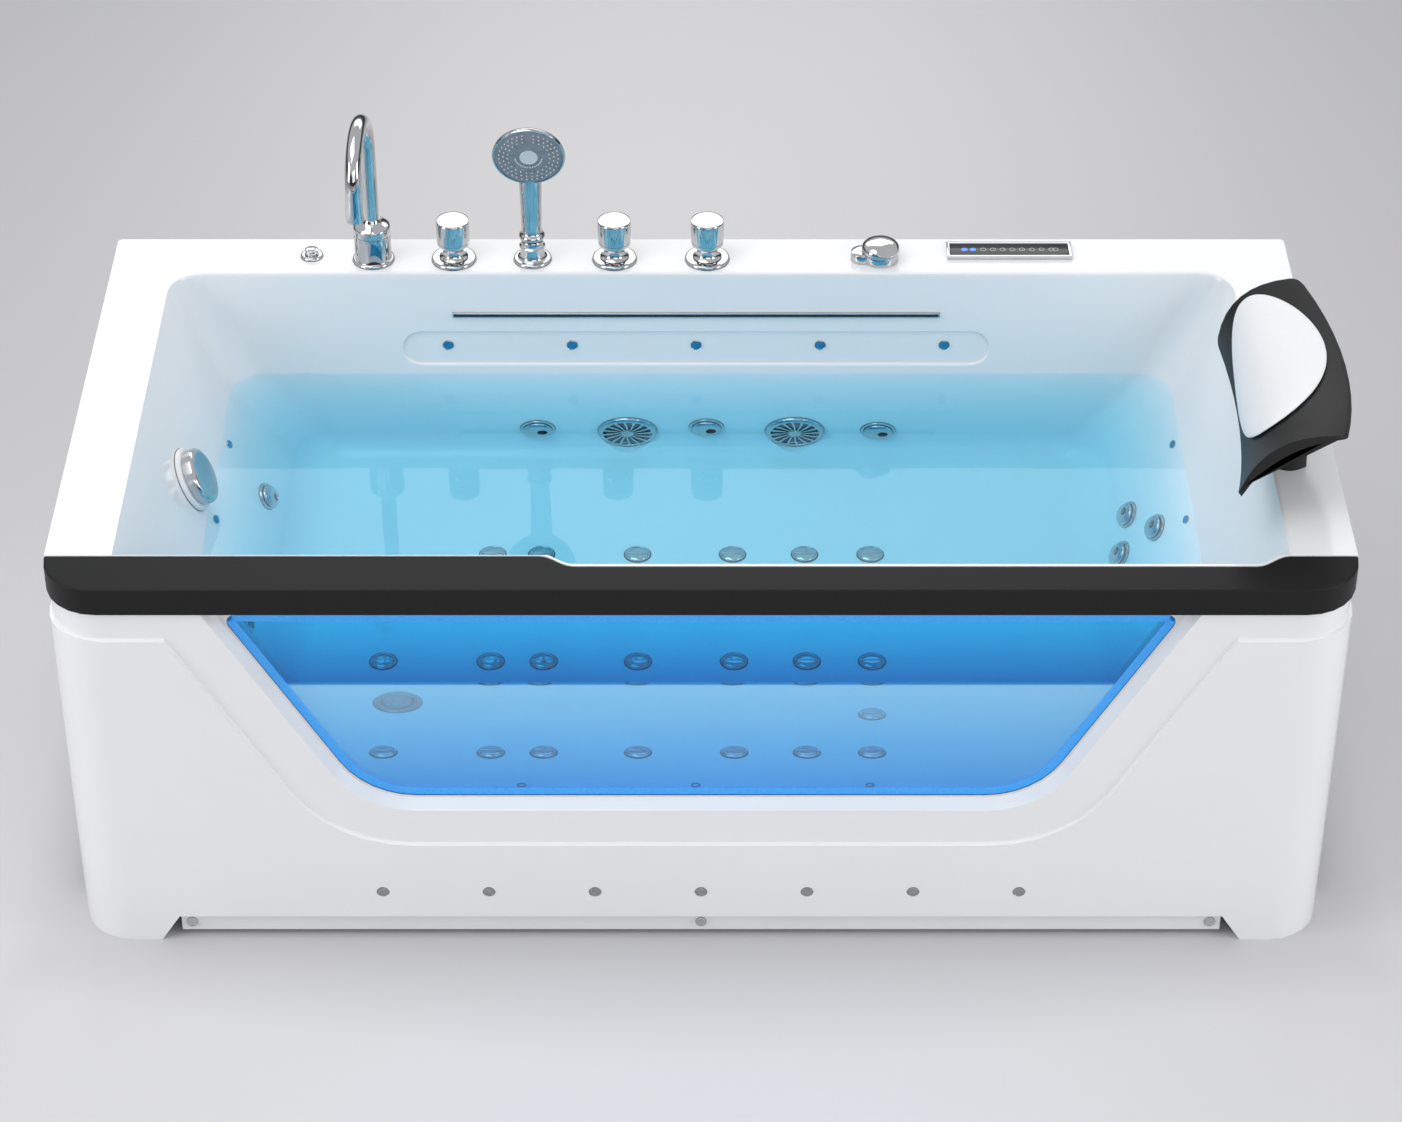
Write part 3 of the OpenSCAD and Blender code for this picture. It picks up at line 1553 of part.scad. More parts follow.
// A point behind an end wall, out along its normal
function behind(s, y, z, far) = [s * (wall_x(z) + far * cos(end_slope)), y, z - far * sin(end_slope)];
pipe_far = jet_l + 3 * water_pipe / 4;
left_pipe = behind(-1, 0, (jets[3][2] + jets[4][2]) / 2, pipe_far);
riser_top = behind(1, riser_y, jets[6][2] + water_pipe / 2, pipe_far);
riser_low = behind(1, riser_y, jets[7][2] - water_pipe / 2, pipe_far);
suction_y = back_y + shell_t + grille_barrel / 2 - pipe_gap;
module water_pipes() {
    neck_y = pump_y + volute_w / 2;
    tap_y = back_y + shell_t + tap_pipe / 2 + pipe_gap;
    tap_z = rim_h - shell_t - shank_l / 2 - flange_h;
    color("#c9ccd0") {
        // Jets along the back wall and the left end
        run(
            [
                [machine_x - neck_x, neck_y, machine_z + volute_d / 2 + 2 * flange_h],
                [machine_x - neck_x, neck_y, riser_top[2]],
                riser_top,
                [riser_top[0], header_y, riser_top[2]],
                [riser_top[0], header_y, header_z],
                [left_pipe[0], header_y, header_z],
                [left_pipe[0], jets[3][1] + 2 * water_pipe, left_pipe[2]],
                [left_pipe[0], jets[4][1] - water_pipe / 2, left_pipe[2]]
            ],
            water_pipe
        );
        run([riser_top, riser_low], water_pipe);
        for (j = jets) {
            if (j[0] == "back") run([[j[1], back_y + jet_l, header_z], [j[1], header_y, header_z]], stub_d);
            if (j[0] == "left")
                run(
                    [
                        behind(-1, j[1], j[2], jet_l + pass_gap),
                        behind(-1, j[1], j[2], jet_l + flange_h),
                        [left_pipe[0], j[1], left_pipe[2]]
                    ],
                    stub_d
                );
            if (j[0] == "right")
                run(
                    [
                        behind(1, j[1], j[2], jet_l + pass_gap),
                        behind(1, j[1], j[2], pipe_far),
                        behind(1, riser_y, j[2], pipe_far)
                    ],
                    stub_d
                );
        }
        // Suction from the two grilles
        run(
            [
                [grilles[0][0], suction_y, machine_z],
                [machine_x, suction_y, machine_z],
                [machine_x, pump_y + volute_w + 2 * flange_h, machine_z]
            ],
            water_pipe
        );
        for (g = grilles)
            run(
                [[g[0], suction_y, g[1] - grille_barrel / 2 - pass_gap], [g[0], suction_y, machine_z]],
                water_pipe
            );
        // Taps and the waterfall
        run([[spout_x, tap_y, tap_z], [valve_x[2], tap_y, tap_z]], tap_pipe);
        for (x = [spout_x, valve_x[0], valve_x[1], valve_x[2]])
            run([[x, row_y - shank_d / 2 - pass_gap, tap_z], [x, tap_y, tap_z]], tap_pipe / 2);
        run([[fall_x, tap_y, tap_z], [fall_x, tap_y, fall_z + fall_box_h / 2]], tap_pipe / 2);
    }
}
air_z = floor_z - shell_t - floor_stem - air_pipe / 2;
module air_pipes() {
    x0 = floor_x[0][0] - floor_cap;
    x1 = floor_x[0][5] + floor_cap;
    y0 = blower_y + 2 * flange_h;
    color("#c9ccd0") {
        run(
            [
                [-machine_x, y0, machine_z],
                [-machine_x, y0 + air_pipe, machine_z],
                [-cross_x + air_pipe, y0 + air_pipe, air_z],
                [-cross_x + 4 * air_pipe, floor_rows[1], air_z],
                [x1, floor_rows[1], air_z]
            ],
            air_pipe
        );
        run([[x0, floor_rows[0], air_z], [x1, floor_rows[0], air_z]], air_pipe);
        run([[floor_single[0], floor_rows[1], air_z], [floor_single[0], floor_rows[0], air_z]], air_pipe);
        on_floor() disc(2 * floor_stem / 3, -shell_t - floor_stem - air_pipe / 2, -shell_t - floor_stem);
    }
}

tub_shell();
front_skirt();
left_panel();
right_panel();
plinth();
plinth_screws();
skirt_lamps();
window_glass();
window_trim();
window_studs();
armrest();
pillow_frame();
pillow_pad();
pillow_foot();
waterfall_spout();
basin_lamps();
suction_grilles();
jet_housings();
jet_nozzle_1();
jet_nozzle_2();
jet_nozzle_3();
jet_nozzle_4();
jet_nozzle_5();
jet_nozzle_6();
jet_nozzle_7();
jet_nozzle_8();
floor_air_jets();
drain_body();
drain_plug();
overflow_body();
overflow_dial();
overflow_pipe();
hot_valve();
cold_valve();
diverter_valve();
hot_knob();
cold_knob();
diverter_knob();
spout_base();
spout();
shower_holder();
shower_handset();
shower_face();
shower_ring();
button_base();
air_button();
air_control_base();
air_control_dial();
panel_frame();
panel_face();
steel_frame();
levelling_feet();
pump_body();
pump_motor();
pump_rotor();
air_blower();
blower_rotor();
control_box();
water_pipes();
air_pipes();
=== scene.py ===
import json
import math

import bpy
from mathutils import Matrix, Vector


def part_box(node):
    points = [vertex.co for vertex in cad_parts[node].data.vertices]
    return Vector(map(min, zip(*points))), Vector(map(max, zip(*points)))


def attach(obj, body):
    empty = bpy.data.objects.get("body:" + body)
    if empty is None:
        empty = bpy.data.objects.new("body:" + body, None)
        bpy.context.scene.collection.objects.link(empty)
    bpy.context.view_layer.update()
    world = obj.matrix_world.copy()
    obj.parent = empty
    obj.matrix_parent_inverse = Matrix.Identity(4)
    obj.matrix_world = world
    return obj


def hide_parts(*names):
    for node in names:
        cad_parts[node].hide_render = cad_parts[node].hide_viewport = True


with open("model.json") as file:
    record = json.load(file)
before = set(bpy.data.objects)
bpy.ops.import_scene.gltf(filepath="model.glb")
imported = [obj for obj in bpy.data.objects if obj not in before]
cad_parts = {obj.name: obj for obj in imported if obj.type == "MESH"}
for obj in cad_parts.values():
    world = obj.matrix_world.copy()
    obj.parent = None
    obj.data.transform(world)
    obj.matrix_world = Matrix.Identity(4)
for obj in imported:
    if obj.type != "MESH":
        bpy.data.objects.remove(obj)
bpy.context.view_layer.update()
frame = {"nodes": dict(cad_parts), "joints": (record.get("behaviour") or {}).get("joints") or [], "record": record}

NODES = frame["nodes"]
BODY_OF = {n: body for body, names in frame["record"]["behaviour"]["bodies"].items() for n in names}
SLOT_OF = {s["node"]: s["material_slot"] for s in frame["record"]["subparts"]}
JOINTS = {j["name"]: j for j in frame["joints"]}

MM = 0.001

# Camera, solved from the rim's corners in the photograph
IMAGE_W = 1402
FOCAL_PX = 3734
SENSOR_MM = 36
CAMERA_AT = (0, -4.2277, 3.4769)
CAMERA_DOWN = 36.654

# Tub and basin
HALF_LENGTH = 0.85
HALF_WIDTH = 0.425
RIM_Z = 0.6
FLOOR_Z = 0.188
WATER_Z = 0.426
END_SLOPE = math.radians(24.2)
LIP_Z = 0.593
LIP_X = 0.761
BACK_Y = 0.333
ROW_Y = 0.371
WINDOW_LOW = 0.230
WINDOW_HIGH = 0.547


def wall_x(z):
    """Half length of the basin at a height."""
    return LIP_X - (LIP_Z - z) * math.tan(END_SLOPE)


# Hand tools
def leave_edit():
    if bpy.context.mode != "OBJECT":
        bpy.ops.object.mode_set(mode="OBJECT")


def clear_selection():
    leave_edit()
    bpy.ops.object.select_all(action="DESELECT")


def choose(piece):
    """Select one piece alone and make it active."""
    clear_selection()
    piece.select_set(True)
    bpy.context.view_layer.objects.active = piece


def open_mesh(piece):
    """Enter edit mode with the whole mesh selected."""
    choose(piece)
    bpy.ops.object.mode_set(mode="EDIT")
    bpy.ops.mesh.select_all(action="SELECT")


def open_picked(piece, parts, wanted):
    """Enter edit mode with only the wanted edges or polygons selected."""
    choose(piece)
    bpy.context.tool_settings.mesh_select_mode = (False, parts == "edges", parts == "polygons")
    bpy.ops.object.mode_set(mode="EDIT")
    bpy.ops.mesh.select_all(action="DESELECT")
    leave_edit()
    for part in piece.data.edges if parts == "edges" else piece.data.polygons:
        part.select = wanted(part)
    bpy.ops.object.mode_set(mode="EDIT")


def settle(piece, place=None):
    """Put the piece at its place and move the place into its mesh."""
    choose(piece)
    if place is not None:
        piece.matrix_world = place @ piece.matrix_world
    bpy.ops.object.transform_apply(location=True, rotation=True, scale=True)
    return piece


def tidy_mesh(piece):
    """Merge doubled points and turn every face outwards."""
    open_mesh(piece)
    bpy.ops.mesh.remove_doubles(threshold=1e-5)
    bpy.ops.mesh.normals_make_consistent(inside=False)
    leave_edit()
    return piece


def soften(piece, width, segments=2, angle=30, smooth=35):
    """Bevel the sharp edges and smooth what is left."""
    choose(piece)
    bevel = piece.modifiers.new("edge", "BEVEL")
    bevel.width = width
    bevel.segments = segments
    bevel.limit_method = "ANGLE"
    bevel.angle_limit = math.radians(angle)
    bevel.harden_normals = False
    bpy.ops.object.modifier_apply(modifier="edge")
    return smoothed(piece, smooth)


def smoothed(piece, angle=35):
    choose(piece)
    bpy.ops.object.shade_smooth_by_angle(angle=math.radians(angle))
    return piece


def cut(piece, tool):
    """Cut the tool's shape out of the piece."""
    choose(piece)
    boolean = piece.modifiers.new("cut", "BOOLEAN")
    boolean.operation = "DIFFERENCE"
    boolean.solver = "EXACT"
    boolean.object = tool
    bpy.ops.object.modifier_apply(modifier="cut")
    bpy.data.objects.remove(tool)
    return piece


def joined(name, pieces):
    """Join pieces into one, in their order."""
    choose(pieces[0])
    for p in pieces[1:]:
        p.select_set(True)
    if len(pieces) > 1:
        bpy.ops.object.join()
    pieces[0].name = name
    return pieces[0]


def extrude(x, y, z):
    bpy.ops.mesh.extrude_region_move(TRANSFORM_OT_translate={"value": (x, y, z)})


def turned(name, profile, segments=64):
    """A turned piece on the z axis: profile is a list of (radius, height) in mm, closed at both ends."""
    clear_selection()
    profile = [(r * MM, z * MM) for r, z in profile]
    radius, height = profile[0]
    bpy.ops.mesh.primitive_circle_add(
        vertices=segments, radius=radius, fill_type="NGON", location=(0, 0, height)
    )
    piece = bpy.context.object
    piece.name = name
    bpy.ops.object.transform_apply(location=True, rotation=False, scale=False)
    open_mesh(piece)
    for r, z in profile[1:]:
        extrude(0, 0, z - height)
        if abs(r - radius) > 1e-7:
            bpy.ops.transform.resize(value=(r / radius, r / radius, 1))
        radius, height = r, z
    leave_edit()
    return tidy_mesh(piece)


def slab(name, low, high):
    """A block between two corners, as a start for shaping."""
    clear_selection()
    centre = [(a + b) / 2 for a, b in zip(low, high)]
    bpy.ops.mesh.primitive_cube_add(size=1, location=centre)
    piece = bpy.context.object
    piece.name = name
    piece.scale = [b - a for a, b in zip(low, high)]
    return settle(piece)


def ease(t):
    """A smooth step from 0 to 1."""
    return (1 - math.cos(math.pi * t)) / 2


def copy_of(node):
    """A merged copy of a CAD node's mesh, with its flat faces whole."""
    piece = bpy.data.objects.new(node + "_finish", NODES[node].data.copy())
    bpy.context.scene.collection.objects.link(piece)
    open_mesh(piece)
    bpy.ops.mesh.remove_doubles(threshold=1e-5)
    bpy.ops.mesh.dissolve_limited(angle_limit=math.radians(0.5))
    leave_edit()
    return piece


def fit(piece, material, *names, body=None, slot=None):
    """Give the piece its finish, its body and the nodes that it stands for."""
    if material is not None:
        piece.data.materials.clear()
        piece.data.materials.append(material)
    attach(piece, body or BODY_OF[names[0]])
    if names:
        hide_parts(*names)
    return piece


def fit_turned(name, profile, place, finish, node, segments=64, smooth=32):
    """Turn one piece, put it at its place and fit it."""
    fit(smoothed(settle(turned(name, profile, segments), place), smooth), finish, node)


# Finishes
def new_finish(name):
    finish = bpy.data.materials.new(name)
    finish.use_nodes = True
    nodes = finish.node_tree.nodes
    return finish, nodes, finish.node_tree.links, nodes["Principled BSDF"]


def set_inputs(node, values):
    for name, value in values.items():
        node.inputs[name].default_value = value


def speckle(nodes, links, scale, detail=3.0):
    """Noise on the piece's own coordinates."""
    place = nodes.new("ShaderNodeTexCoord")
    noise = nodes.new("ShaderNodeTexNoise")
    set_inputs(noise, {"Scale": scale, "Detail": detail})
    links.new(place.outputs["Object"], noise.inputs["Vector"])
    return noise


def vary(nodes, links, noise, socket, low, high):
    """Drive a socket between two values by noise."""
    spread = nodes.new("ShaderNodeMapRange")
    set_inputs(spread, {"From Min": 0.3, "From Max": 0.7, "To Min": low, "To Max": high})
    links.new(noise.outputs["Fac"], spread.inputs["Value"])
    links.new(spread.outputs["Result"], socket)


def tint(nodes, links, noise, socket, dark, light):
    """Mix two near colours by noise."""
    ramp = nodes.new("ShaderNodeValToRGB")
    ramp.color_ramp.elements[0].position = 0.3
    ramp.color_ramp.elements[0].color = (*dark, 1)
    ramp.color_ramp.elements[1].position = 0.7
    ramp.color_ramp.elements[1].color = (*light, 1)
    links.new(noise.outputs["Fac"], ramp.inputs["Fac"])
    links.new(ramp.outputs["Color"], socket)


def relief(nodes, links, noise, shader, height):
    """Fine bump of a given height in metres."""
    bump = nodes.new("ShaderNodeBump")
    set_inputs(bump, {"Strength": 1.0, "Distance": height})
    links.new(noise.outputs["Fac"], bump.inputs["Height"])
    links.new(bump.outputs["Normal"], shader.inputs["Normal"])


def surface(name, dark, light, rough, metal=0.0, grain=40.0, height=0.0, coat=0.0, spec=0.5):
    """A finish that drifts between two near colours and two near roughnesses."""
    finish, nodes, links, shader = new_finish(name)
    noise = speckle(nodes, links, grain)
    tint(nodes, links, noise, shader.inputs["Base Color"], dark, light)
    vary(nodes, links, noise, shader.inputs["Roughness"], *rough)
    set_inputs(shader, {
        "Metallic": metal, "Coat Weight": coat, "Coat Roughness": 0.05, "Specular IOR Level": spec,
    })
    if height:
        relief(nodes, links, noise, shader, height)
    return finish


WHITE_ACRYLIC = surface(
    "white_acrylic", (0.845, 0.85, 0.86), (0.86, 0.865, 0.875), (0.14, 0.20), grain=6, coat=0.2
)
PLINTH_WHITE = surface("plinth_white", (0.80, 0.805, 0.81), (0.83, 0.835, 0.84), (0.18, 0.26), grain=9)
CHROME = surface(
    "polished_chrome", (0.55, 0.555, 0.565), (0.61, 0.615, 0.625), (0.03, 0.06), metal=1.0, grain=30
)
BRUSHED = surface(
    "brushed_steel", (0.45, 0.46, 0.48), (0.6, 0.61, 0.63), (0.28, 0.42), metal=1.0, grain=160
)
DRAIN_STEEL = surface(
    "drain_steel", (0.24, 0.25, 0.27), (0.30, 0.31, 0.33), (0.10, 0.16), metal=1.0, grain=40
)
ARM_BLACK = surface(
    "armrest_black", (0.0105, 0.0105, 0.0105), (0.013, 0.0128, 0.0125), (0.42, 0.5),
    grain=420, height=2e-5, spec=0.17,
)
# Black rubber of the seals; also used to paint shade in the waterfall's slot and at the feet of the flanges.
RUBBER_AND_PAINTED_SHADE = surface("seal_rubber_and_painted_shade", (0.012, 0.012, 0.014), (0.02, 0.02, 0.022), (0.45, 0.6), grain=200)
PILLOW_BLACK = surface(
    "pillow_black", (0.017, 0.0168, 0.0168), (0.022, 0.0217, 0.0215), (0.40, 0.5),
    grain=520, height=3e-5, spec=0.22,
)
PILLOW_WHITE = surface(
    "pillow_white", (0.84, 0.845, 0.86), (0.87, 0.875, 0.885), (0.42, 0.52), grain=480, height=3e-5
)
NOZZLE_GREY = surface("nozzle_grey", (0.16, 0.17, 0.19), (0.22, 0.23, 0.25), (0.3, 0.4), grain=90)
PANEL_BLACK = surface("panel_black", (0.004, 0.004, 0.005), (0.007, 0.007, 0.008), (0.08, 0.12), grain=20)
FACE_GREY = surface(
    "spray_face", (0.20, 0.215, 0.24), (0.24, 0.255, 0.28), (0.24, 0.32), grain=60, coat=0.2
)
DOT_WHITE = surface("spray_rubber", (0.62, 0.64, 0.66), (0.70, 0.72, 0.74), (0.4, 0.5), grain=300)
KEY_GREY = surface("key_print", (0.42, 0.43, 0.45), (0.52, 0.53, 0.55), (0.2, 0.3), grain=300)
BEAD_GREY = surface(
    "window_bead", (0.70, 0.71, 0.73), (0.76, 0.77, 0.79), (0.12, 0.2), grain=40, coat=0.5
)
LIP_BLUE = surface("bead_lip", (0.0, 0.02, 0.11), (0.0, 0.03, 0.16), (0.2, 0.3), grain=90)


def glowing(name, colour, glow, strength, rough=0.08, alpha=1.0):
    """A lens with a light behind it; also a painted glow on a part that is no lamp."""
    finish, nodes, links, shader = new_finish(name)
    noise = speckle(nodes, links, 220)
    tint(nodes, links, noise, shader.inputs["Base Color"], [c * 0.8 for c in colour], colour)
    vary(nodes, links, noise, shader.inputs["Roughness"], rough, rough * 1.6)
    set_inputs(shader, {
        "Coat Weight": 0.6, "Emission Color": (*glow, 1), "Emission Strength": strength, "Alpha": alpha,
    })
    return finish


LENS_BLUE = glowing("lamp_blue", (0.004, 0.12, 0.26), (0.0, 0.22, 0.5), 0.22)
LENS_GREY = glowing("lamp_grey", (0.27, 0.28, 0.29), (0.2, 0.2, 0.2), 0.0, 0.2)
KEY_BLUE = glowing("key_blue", (0.01, 0.10, 0.7), (0.02, 0.16, 1.0), 1.2)
# Painted glow: the window's edge glows though it is no lamp, to paint its lit reveal.
PAINTED_EDGE_GLOW = glowing("window_edge_painted_glow", (0.04, 0.36, 0.80), (0.05, 0.38, 0.95), 0.34, rough=0.1, alpha=0.72)


# Glass and water
def shadow_passes(finish, shader, colour):
    """Let the studio's light through, tinted, so that no caustics are needed."""
    nodes, links = finish.node_tree.nodes, finish.node_tree.links
    path = nodes.new("ShaderNodeLightPath")
    through = nodes.new("ShaderNodeBsdfTransparent")
    through.inputs["Color"].default_value = (*colour, 1)
    pick = nodes.new("ShaderNodeMixShader")
    links.new(path.outputs["Is Shadow Ray"], pick.inputs["Fac"])
    links.new(shader.outputs["BSDF"], pick.inputs[1])
    links.new(through.outputs["BSDF"], pick.inputs[2])
    links.new(pick.outputs["Shader"], nodes["Material Output"].inputs["Surface"])


def clear_finish(name, colour, ior, shade):
    """A clear finish of one colour, whose shadow has the shade's colour."""
    finish, nodes, links, shader = new_finish(name)
    noise = speckle(nodes, links, 8)
    tint(nodes, links, noise, shader.inputs["Base Color"], colour, [min(1, c * 1.02) for c in colour])
    set_inputs(shader, {"Roughness": 0.0, "Transmission Weight": 1.0, "IOR": ior})
    shadow_passes(finish, shader, shade)
    return finish, nodes, links, shader


def water_finish():
    finish, nodes, links, shader = clear_finish("bath_water", (0.98, 0.992, 1.0), 1.333, (0.84, 0.97, 1.0))
    absorb = nodes.new("ShaderNodeVolumeAbsorption")
    set_inputs(absorb, {"Color": (0.19, 0.82, 0.955, 1), "Density": 2.5})
    links.new(absorb.outputs["Volume"], nodes["Material Output"].inputs["Volume"])
    ripple = speckle(nodes, links, 5, detail=2.0)
    relief(nodes, links, ripple, shader, 0.0006)
    return finish


def by_height(finish, stops):
    """A ramp over the height of the window, given as (height, colour) stops."""
    nodes, links = finish.node_tree.nodes, finish.node_tree.links
    low, high = stops[0][0], stops[-1][0]
    place = nodes.new("ShaderNodeTexCoord")
    split = nodes.new("ShaderNodeSeparateXYZ")
    spread = nodes.new("ShaderNodeMapRange")
    set_inputs(spread, {"From Min": low, "From Max": high})
    ramp = nodes.new("ShaderNodeValToRGB")
    links.new(place.outputs["Object"], split.inputs["Vector"])
    links.new(split.outputs["Z"], spread.inputs["Value"])
    links.new(spread.outputs["Result"], ramp.inputs["Fac"])
    for k, (height, colour) in enumerate(stops):
        at = (height - low) / (high - low)
        element = ramp.color_ramp.elements[k] if k in (0, 1) else ramp.color_ramp.elements.new(at)
        element.position = at
        element.color = (*colour, 1)
    return ramp


def glass_finish():
    """Blue glass, deeper over the waterline, with painted light: a pale diffuse layer, strongest just under the
    waterline, stands in for the lit water behind it.
    """
    finish, nodes, links, shader = clear_finish("window_glass", (0.1, 0.4, 0.7), 1.45, (0.45, 0.75, 0.97))
    dry = WATER_Z + 0.0004
    tint_ramp = by_height(finish, [
        (WINDOW_LOW, (0.12, 0.44, 0.88)), (WATER_Z, (0.48, 0.78, 0.97)),
        (dry, (0.011, 0.21, 0.54)), (WINDOW_HIGH, (0.055, 0.60, 0.92)),
    ])
    links.new(tint_ramp.outputs["Color"], shader.inputs["Base Color"])
    # Painted light: the share of the pale layer by height, highest just under the waterline and falling off
    # towards the bottom.
    painted_light_at = [(WINDOW_LOW, 0.03), (0.335, 0.11), (WATER_Z, 0.25), (dry, 0.0), (WINDOW_HIGH, 0.0)]
    painted_light_ramp = by_height(finish, [(height, (share, share, share)) for height, share in painted_light_at])
    painted_water_light = nodes.new("ShaderNodeBsdfDiffuse")
    painted_water_light.inputs["Color"].default_value = (0.66, 0.88, 1.0, 1)
    blend = nodes.new("ShaderNodeMixShader")
    pick = next(link for link in links if link.to_node.type == "OUTPUT_MATERIAL").from_node
    links.new(painted_light_ramp.outputs["Color"], blend.inputs["Fac"])
    links.new(shader.outputs["BSDF"], blend.inputs[1])
    links.new(painted_water_light.outputs["BSDF"], blend.inputs[2])
    links.new(blend.outputs["Shader"], pick.inputs[1])
    return finish


WATER = water_finish()
GLASS = glass_finish()


# Camera
def place_camera():
    camera = bpy.data.objects.new("camera", bpy.data.cameras.new("camera"))
    bpy.context.scene.collection.objects.link(camera)
    camera.data.sensor_width = SENSOR_MM
    camera.data.lens = FOCAL_PX / IMAGE_W * SENSOR_MM
    camera.location = CAMERA_AT
    camera.rotation_euler = (math.radians(90 - CAMERA_DOWN), 0, 0)
    bpy.context.scene.camera = camera


# Floor and light
def area_light(name, place, aim, size, power):
    light = bpy.data.lights.new(name, "AREA")
    light.shape = "RECTANGLE"
    light.size, light.size_y = size
    light.energy = power
    softbox = bpy.data.objects.new(name, light)
    bpy.context.scene.collection.objects.link(softbox)
    softbox.location = place
    softbox.rotation_euler = (Vector(aim) - Vector(place)).to_track_quat("-Z", "Y").to_euler()


# The floor's own pale grey, and a darker grey that paints shade on it: the tub's shadow and the dimmer sides.
FLOOR_LIGHT = (0.70, 0.692, 0.695)
FLOOR_PAINTED_SHADE = (0.555, 0.55, 0.56)
PAINTED_SHADOW_REACH = 0.26


def reckon(nodes, links, kind, first, second):
    """A math node on two sockets, or on a socket and a number."""
    node = nodes.new("ShaderNodeMath")
    node.operation = kind
    links.new(first, node.inputs[0])
    if isinstance(second, (int, float)):
        node.inputs[1].default_value = second
    else:
        links.new(second, node.inputs[1])
    return node.outputs["Value"]


def smooth_range(nodes, links, source, near, far, start, end):
    """Goes smoothly from start to end while the source goes from near to far."""
    spread = nodes.new("ShaderNodeMapRange")
    spread.interpolation_type = "SMOOTHSTEP"
    set_inputs(spread, {"From Min": near, "From Max": far, "To Min": start, "To Max": end})
    links.new(source, spread.inputs["Value"])
    return spread.outputs["Result"]


def painted_floor_shade(nodes, links):
    """Share of the painted shade on the floor: high at the sides, where the light falls off, and close to the tub,
    as its painted shadow.
    """
    place = nodes.new("ShaderNodeTexCoord")
    split = nodes.new("ShaderNodeSeparateXYZ")
    links.new(place.outputs["Object"], split.inputs["Vector"])
    across = reckon(nodes, links, "ABSOLUTE", split.outputs["X"], 0.0)
    deep = reckon(nodes, links, "ABSOLUTE", split.outputs["Y"], 0.0)
    past_end = reckon(nodes, links, "SUBTRACT", across, HALF_LENGTH)
    past_front = reckon(nodes, links, "SUBTRACT", deep, HALF_WIDTH)
    away = reckon(nodes, links, "MAXIMUM", past_end, past_front)
    painted_tub_shadow = smooth_range(nodes, links, away, 0.0, PAINTED_SHADOW_REACH, 1.0, 0.0)
    painted_side_shade = smooth_range(nodes, links, across, 0.1, 1.5, 0.0, 1.0)
    return reckon(nodes, links, "MAXIMUM", painted_side_shade, painted_tub_shadow)


def floor_finish():
    """Pale grey ground with painted shade: lighter towards the middle and the back, darker at the sides and by the
    tub, where a shadow is painted.
    """
    finish, nodes, links, shader = new_finish("studio_floor")
    ramp = nodes.new("ShaderNodeValToRGB")
    ramp.color_ramp.elements[0].color = (*FLOOR_LIGHT, 1)
    ramp.color_ramp.elements[1].color = (*FLOOR_PAINTED_SHADE, 1)
    links.new(painted_floor_shade(nodes, links), ramp.inputs["Fac"])
    links.new(ramp.outputs["Color"], shader.inputs["Base Color"])
    noise = speckle(nodes, links, 0.6)
    vary(nodes, links, noise, shader.inputs["Roughness"], 0.55, 0.65)
    shader.inputs["Specular IOR Level"].default_value = 0.2
    return finish


def horizon_dark(tree):
    """A bright sky over a dark band at the horizon, which draws the chrome's dark lines."""
    nodes, links = tree.nodes, tree.links
    place = nodes.new("ShaderNodeTexCoord")
    split = nodes.new("ShaderNodeSeparateXYZ")
    ramp = nodes.new("ShaderNodeValToRGB")
    sky = ramp.color_ramp.elements
    sky[0].color = (0.07, 0.07, 0.075, 1)
    sky[1].position, sky[1].color = 0.34, (0.86, 0.87, 0.89, 1)
    band = sky.new(0.20)
    band.color = (0.12, 0.12, 0.125, 1)
    links.new(place.outputs["Generated"], split.inputs["Vector"])
    links.new(split.outputs["Z"], ramp.inputs["Fac"])
    links.new(ramp.outputs["Color"], nodes["Background"].inputs["Color"])
    nodes["Background"].inputs["Strength"].default_value = 0.75


def studio():
    world = bpy.data.worlds.new("studio")
    bpy.context.scene.world = world
    world.use_nodes = True
    horizon_dark(world.node_tree)
    area_light("key_softbox", (-1.2, -0.6, 3.4), (0, 0, 0.4), (2.6, 2.2), 33)
    area_light("fill_softbox", (0.6, -3.2, 1.6), (0, 0, 0.3), (2.6, 1.6), 17)
    area_light("back_softbox", (0, 2.6, 2.4), (0, 0, 0.5), (3.0, 1.2), 18)
    for side in (-1, 1):
        area_light("side_softbox", (side * 2.6, -1.2, 1.3), (side * 0.7, -0.2, 0.4), (1.0, 1.6), 20)

    clear_selection()
    bpy.ops.mesh.primitive_plane_add(size=16, location=(0, 2.0, 0))
    floor = bpy.context.object
    floor.name = "studio_floor"
    bpy.ops.object.transform_apply(location=True, rotation=False, scale=False)
    floor.data.materials.append(floor_finish())


# Water
def bath_water():
    """The bath's fill, reaching a little into the acrylic and up to the window's glass."""
    lap = 0.002
    glass_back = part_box("window_glass")[1].y
    water = slab("bath_water", (-1, glass_back + 0.0003, FLOOR_Z - lap), (1, BACK_Y + lap, WATER_Z))
    for side in (-1, 1):
        open_mesh(water)
        bpy.ops.mesh.bisect(
            plane_co=(side * (wall_x(FLOOR_Z) + lap), 0, FLOOR_Z),
            plane_no=(side * math.cos(END_SLOPE), 0, -math.sin(END_SLOPE)),
            clear_outer=True,
            use_fill=True,
        )
    leave_edit()
    tidy_mesh(water)
    return fit(water, WATER, body="root", slot="window_glass")


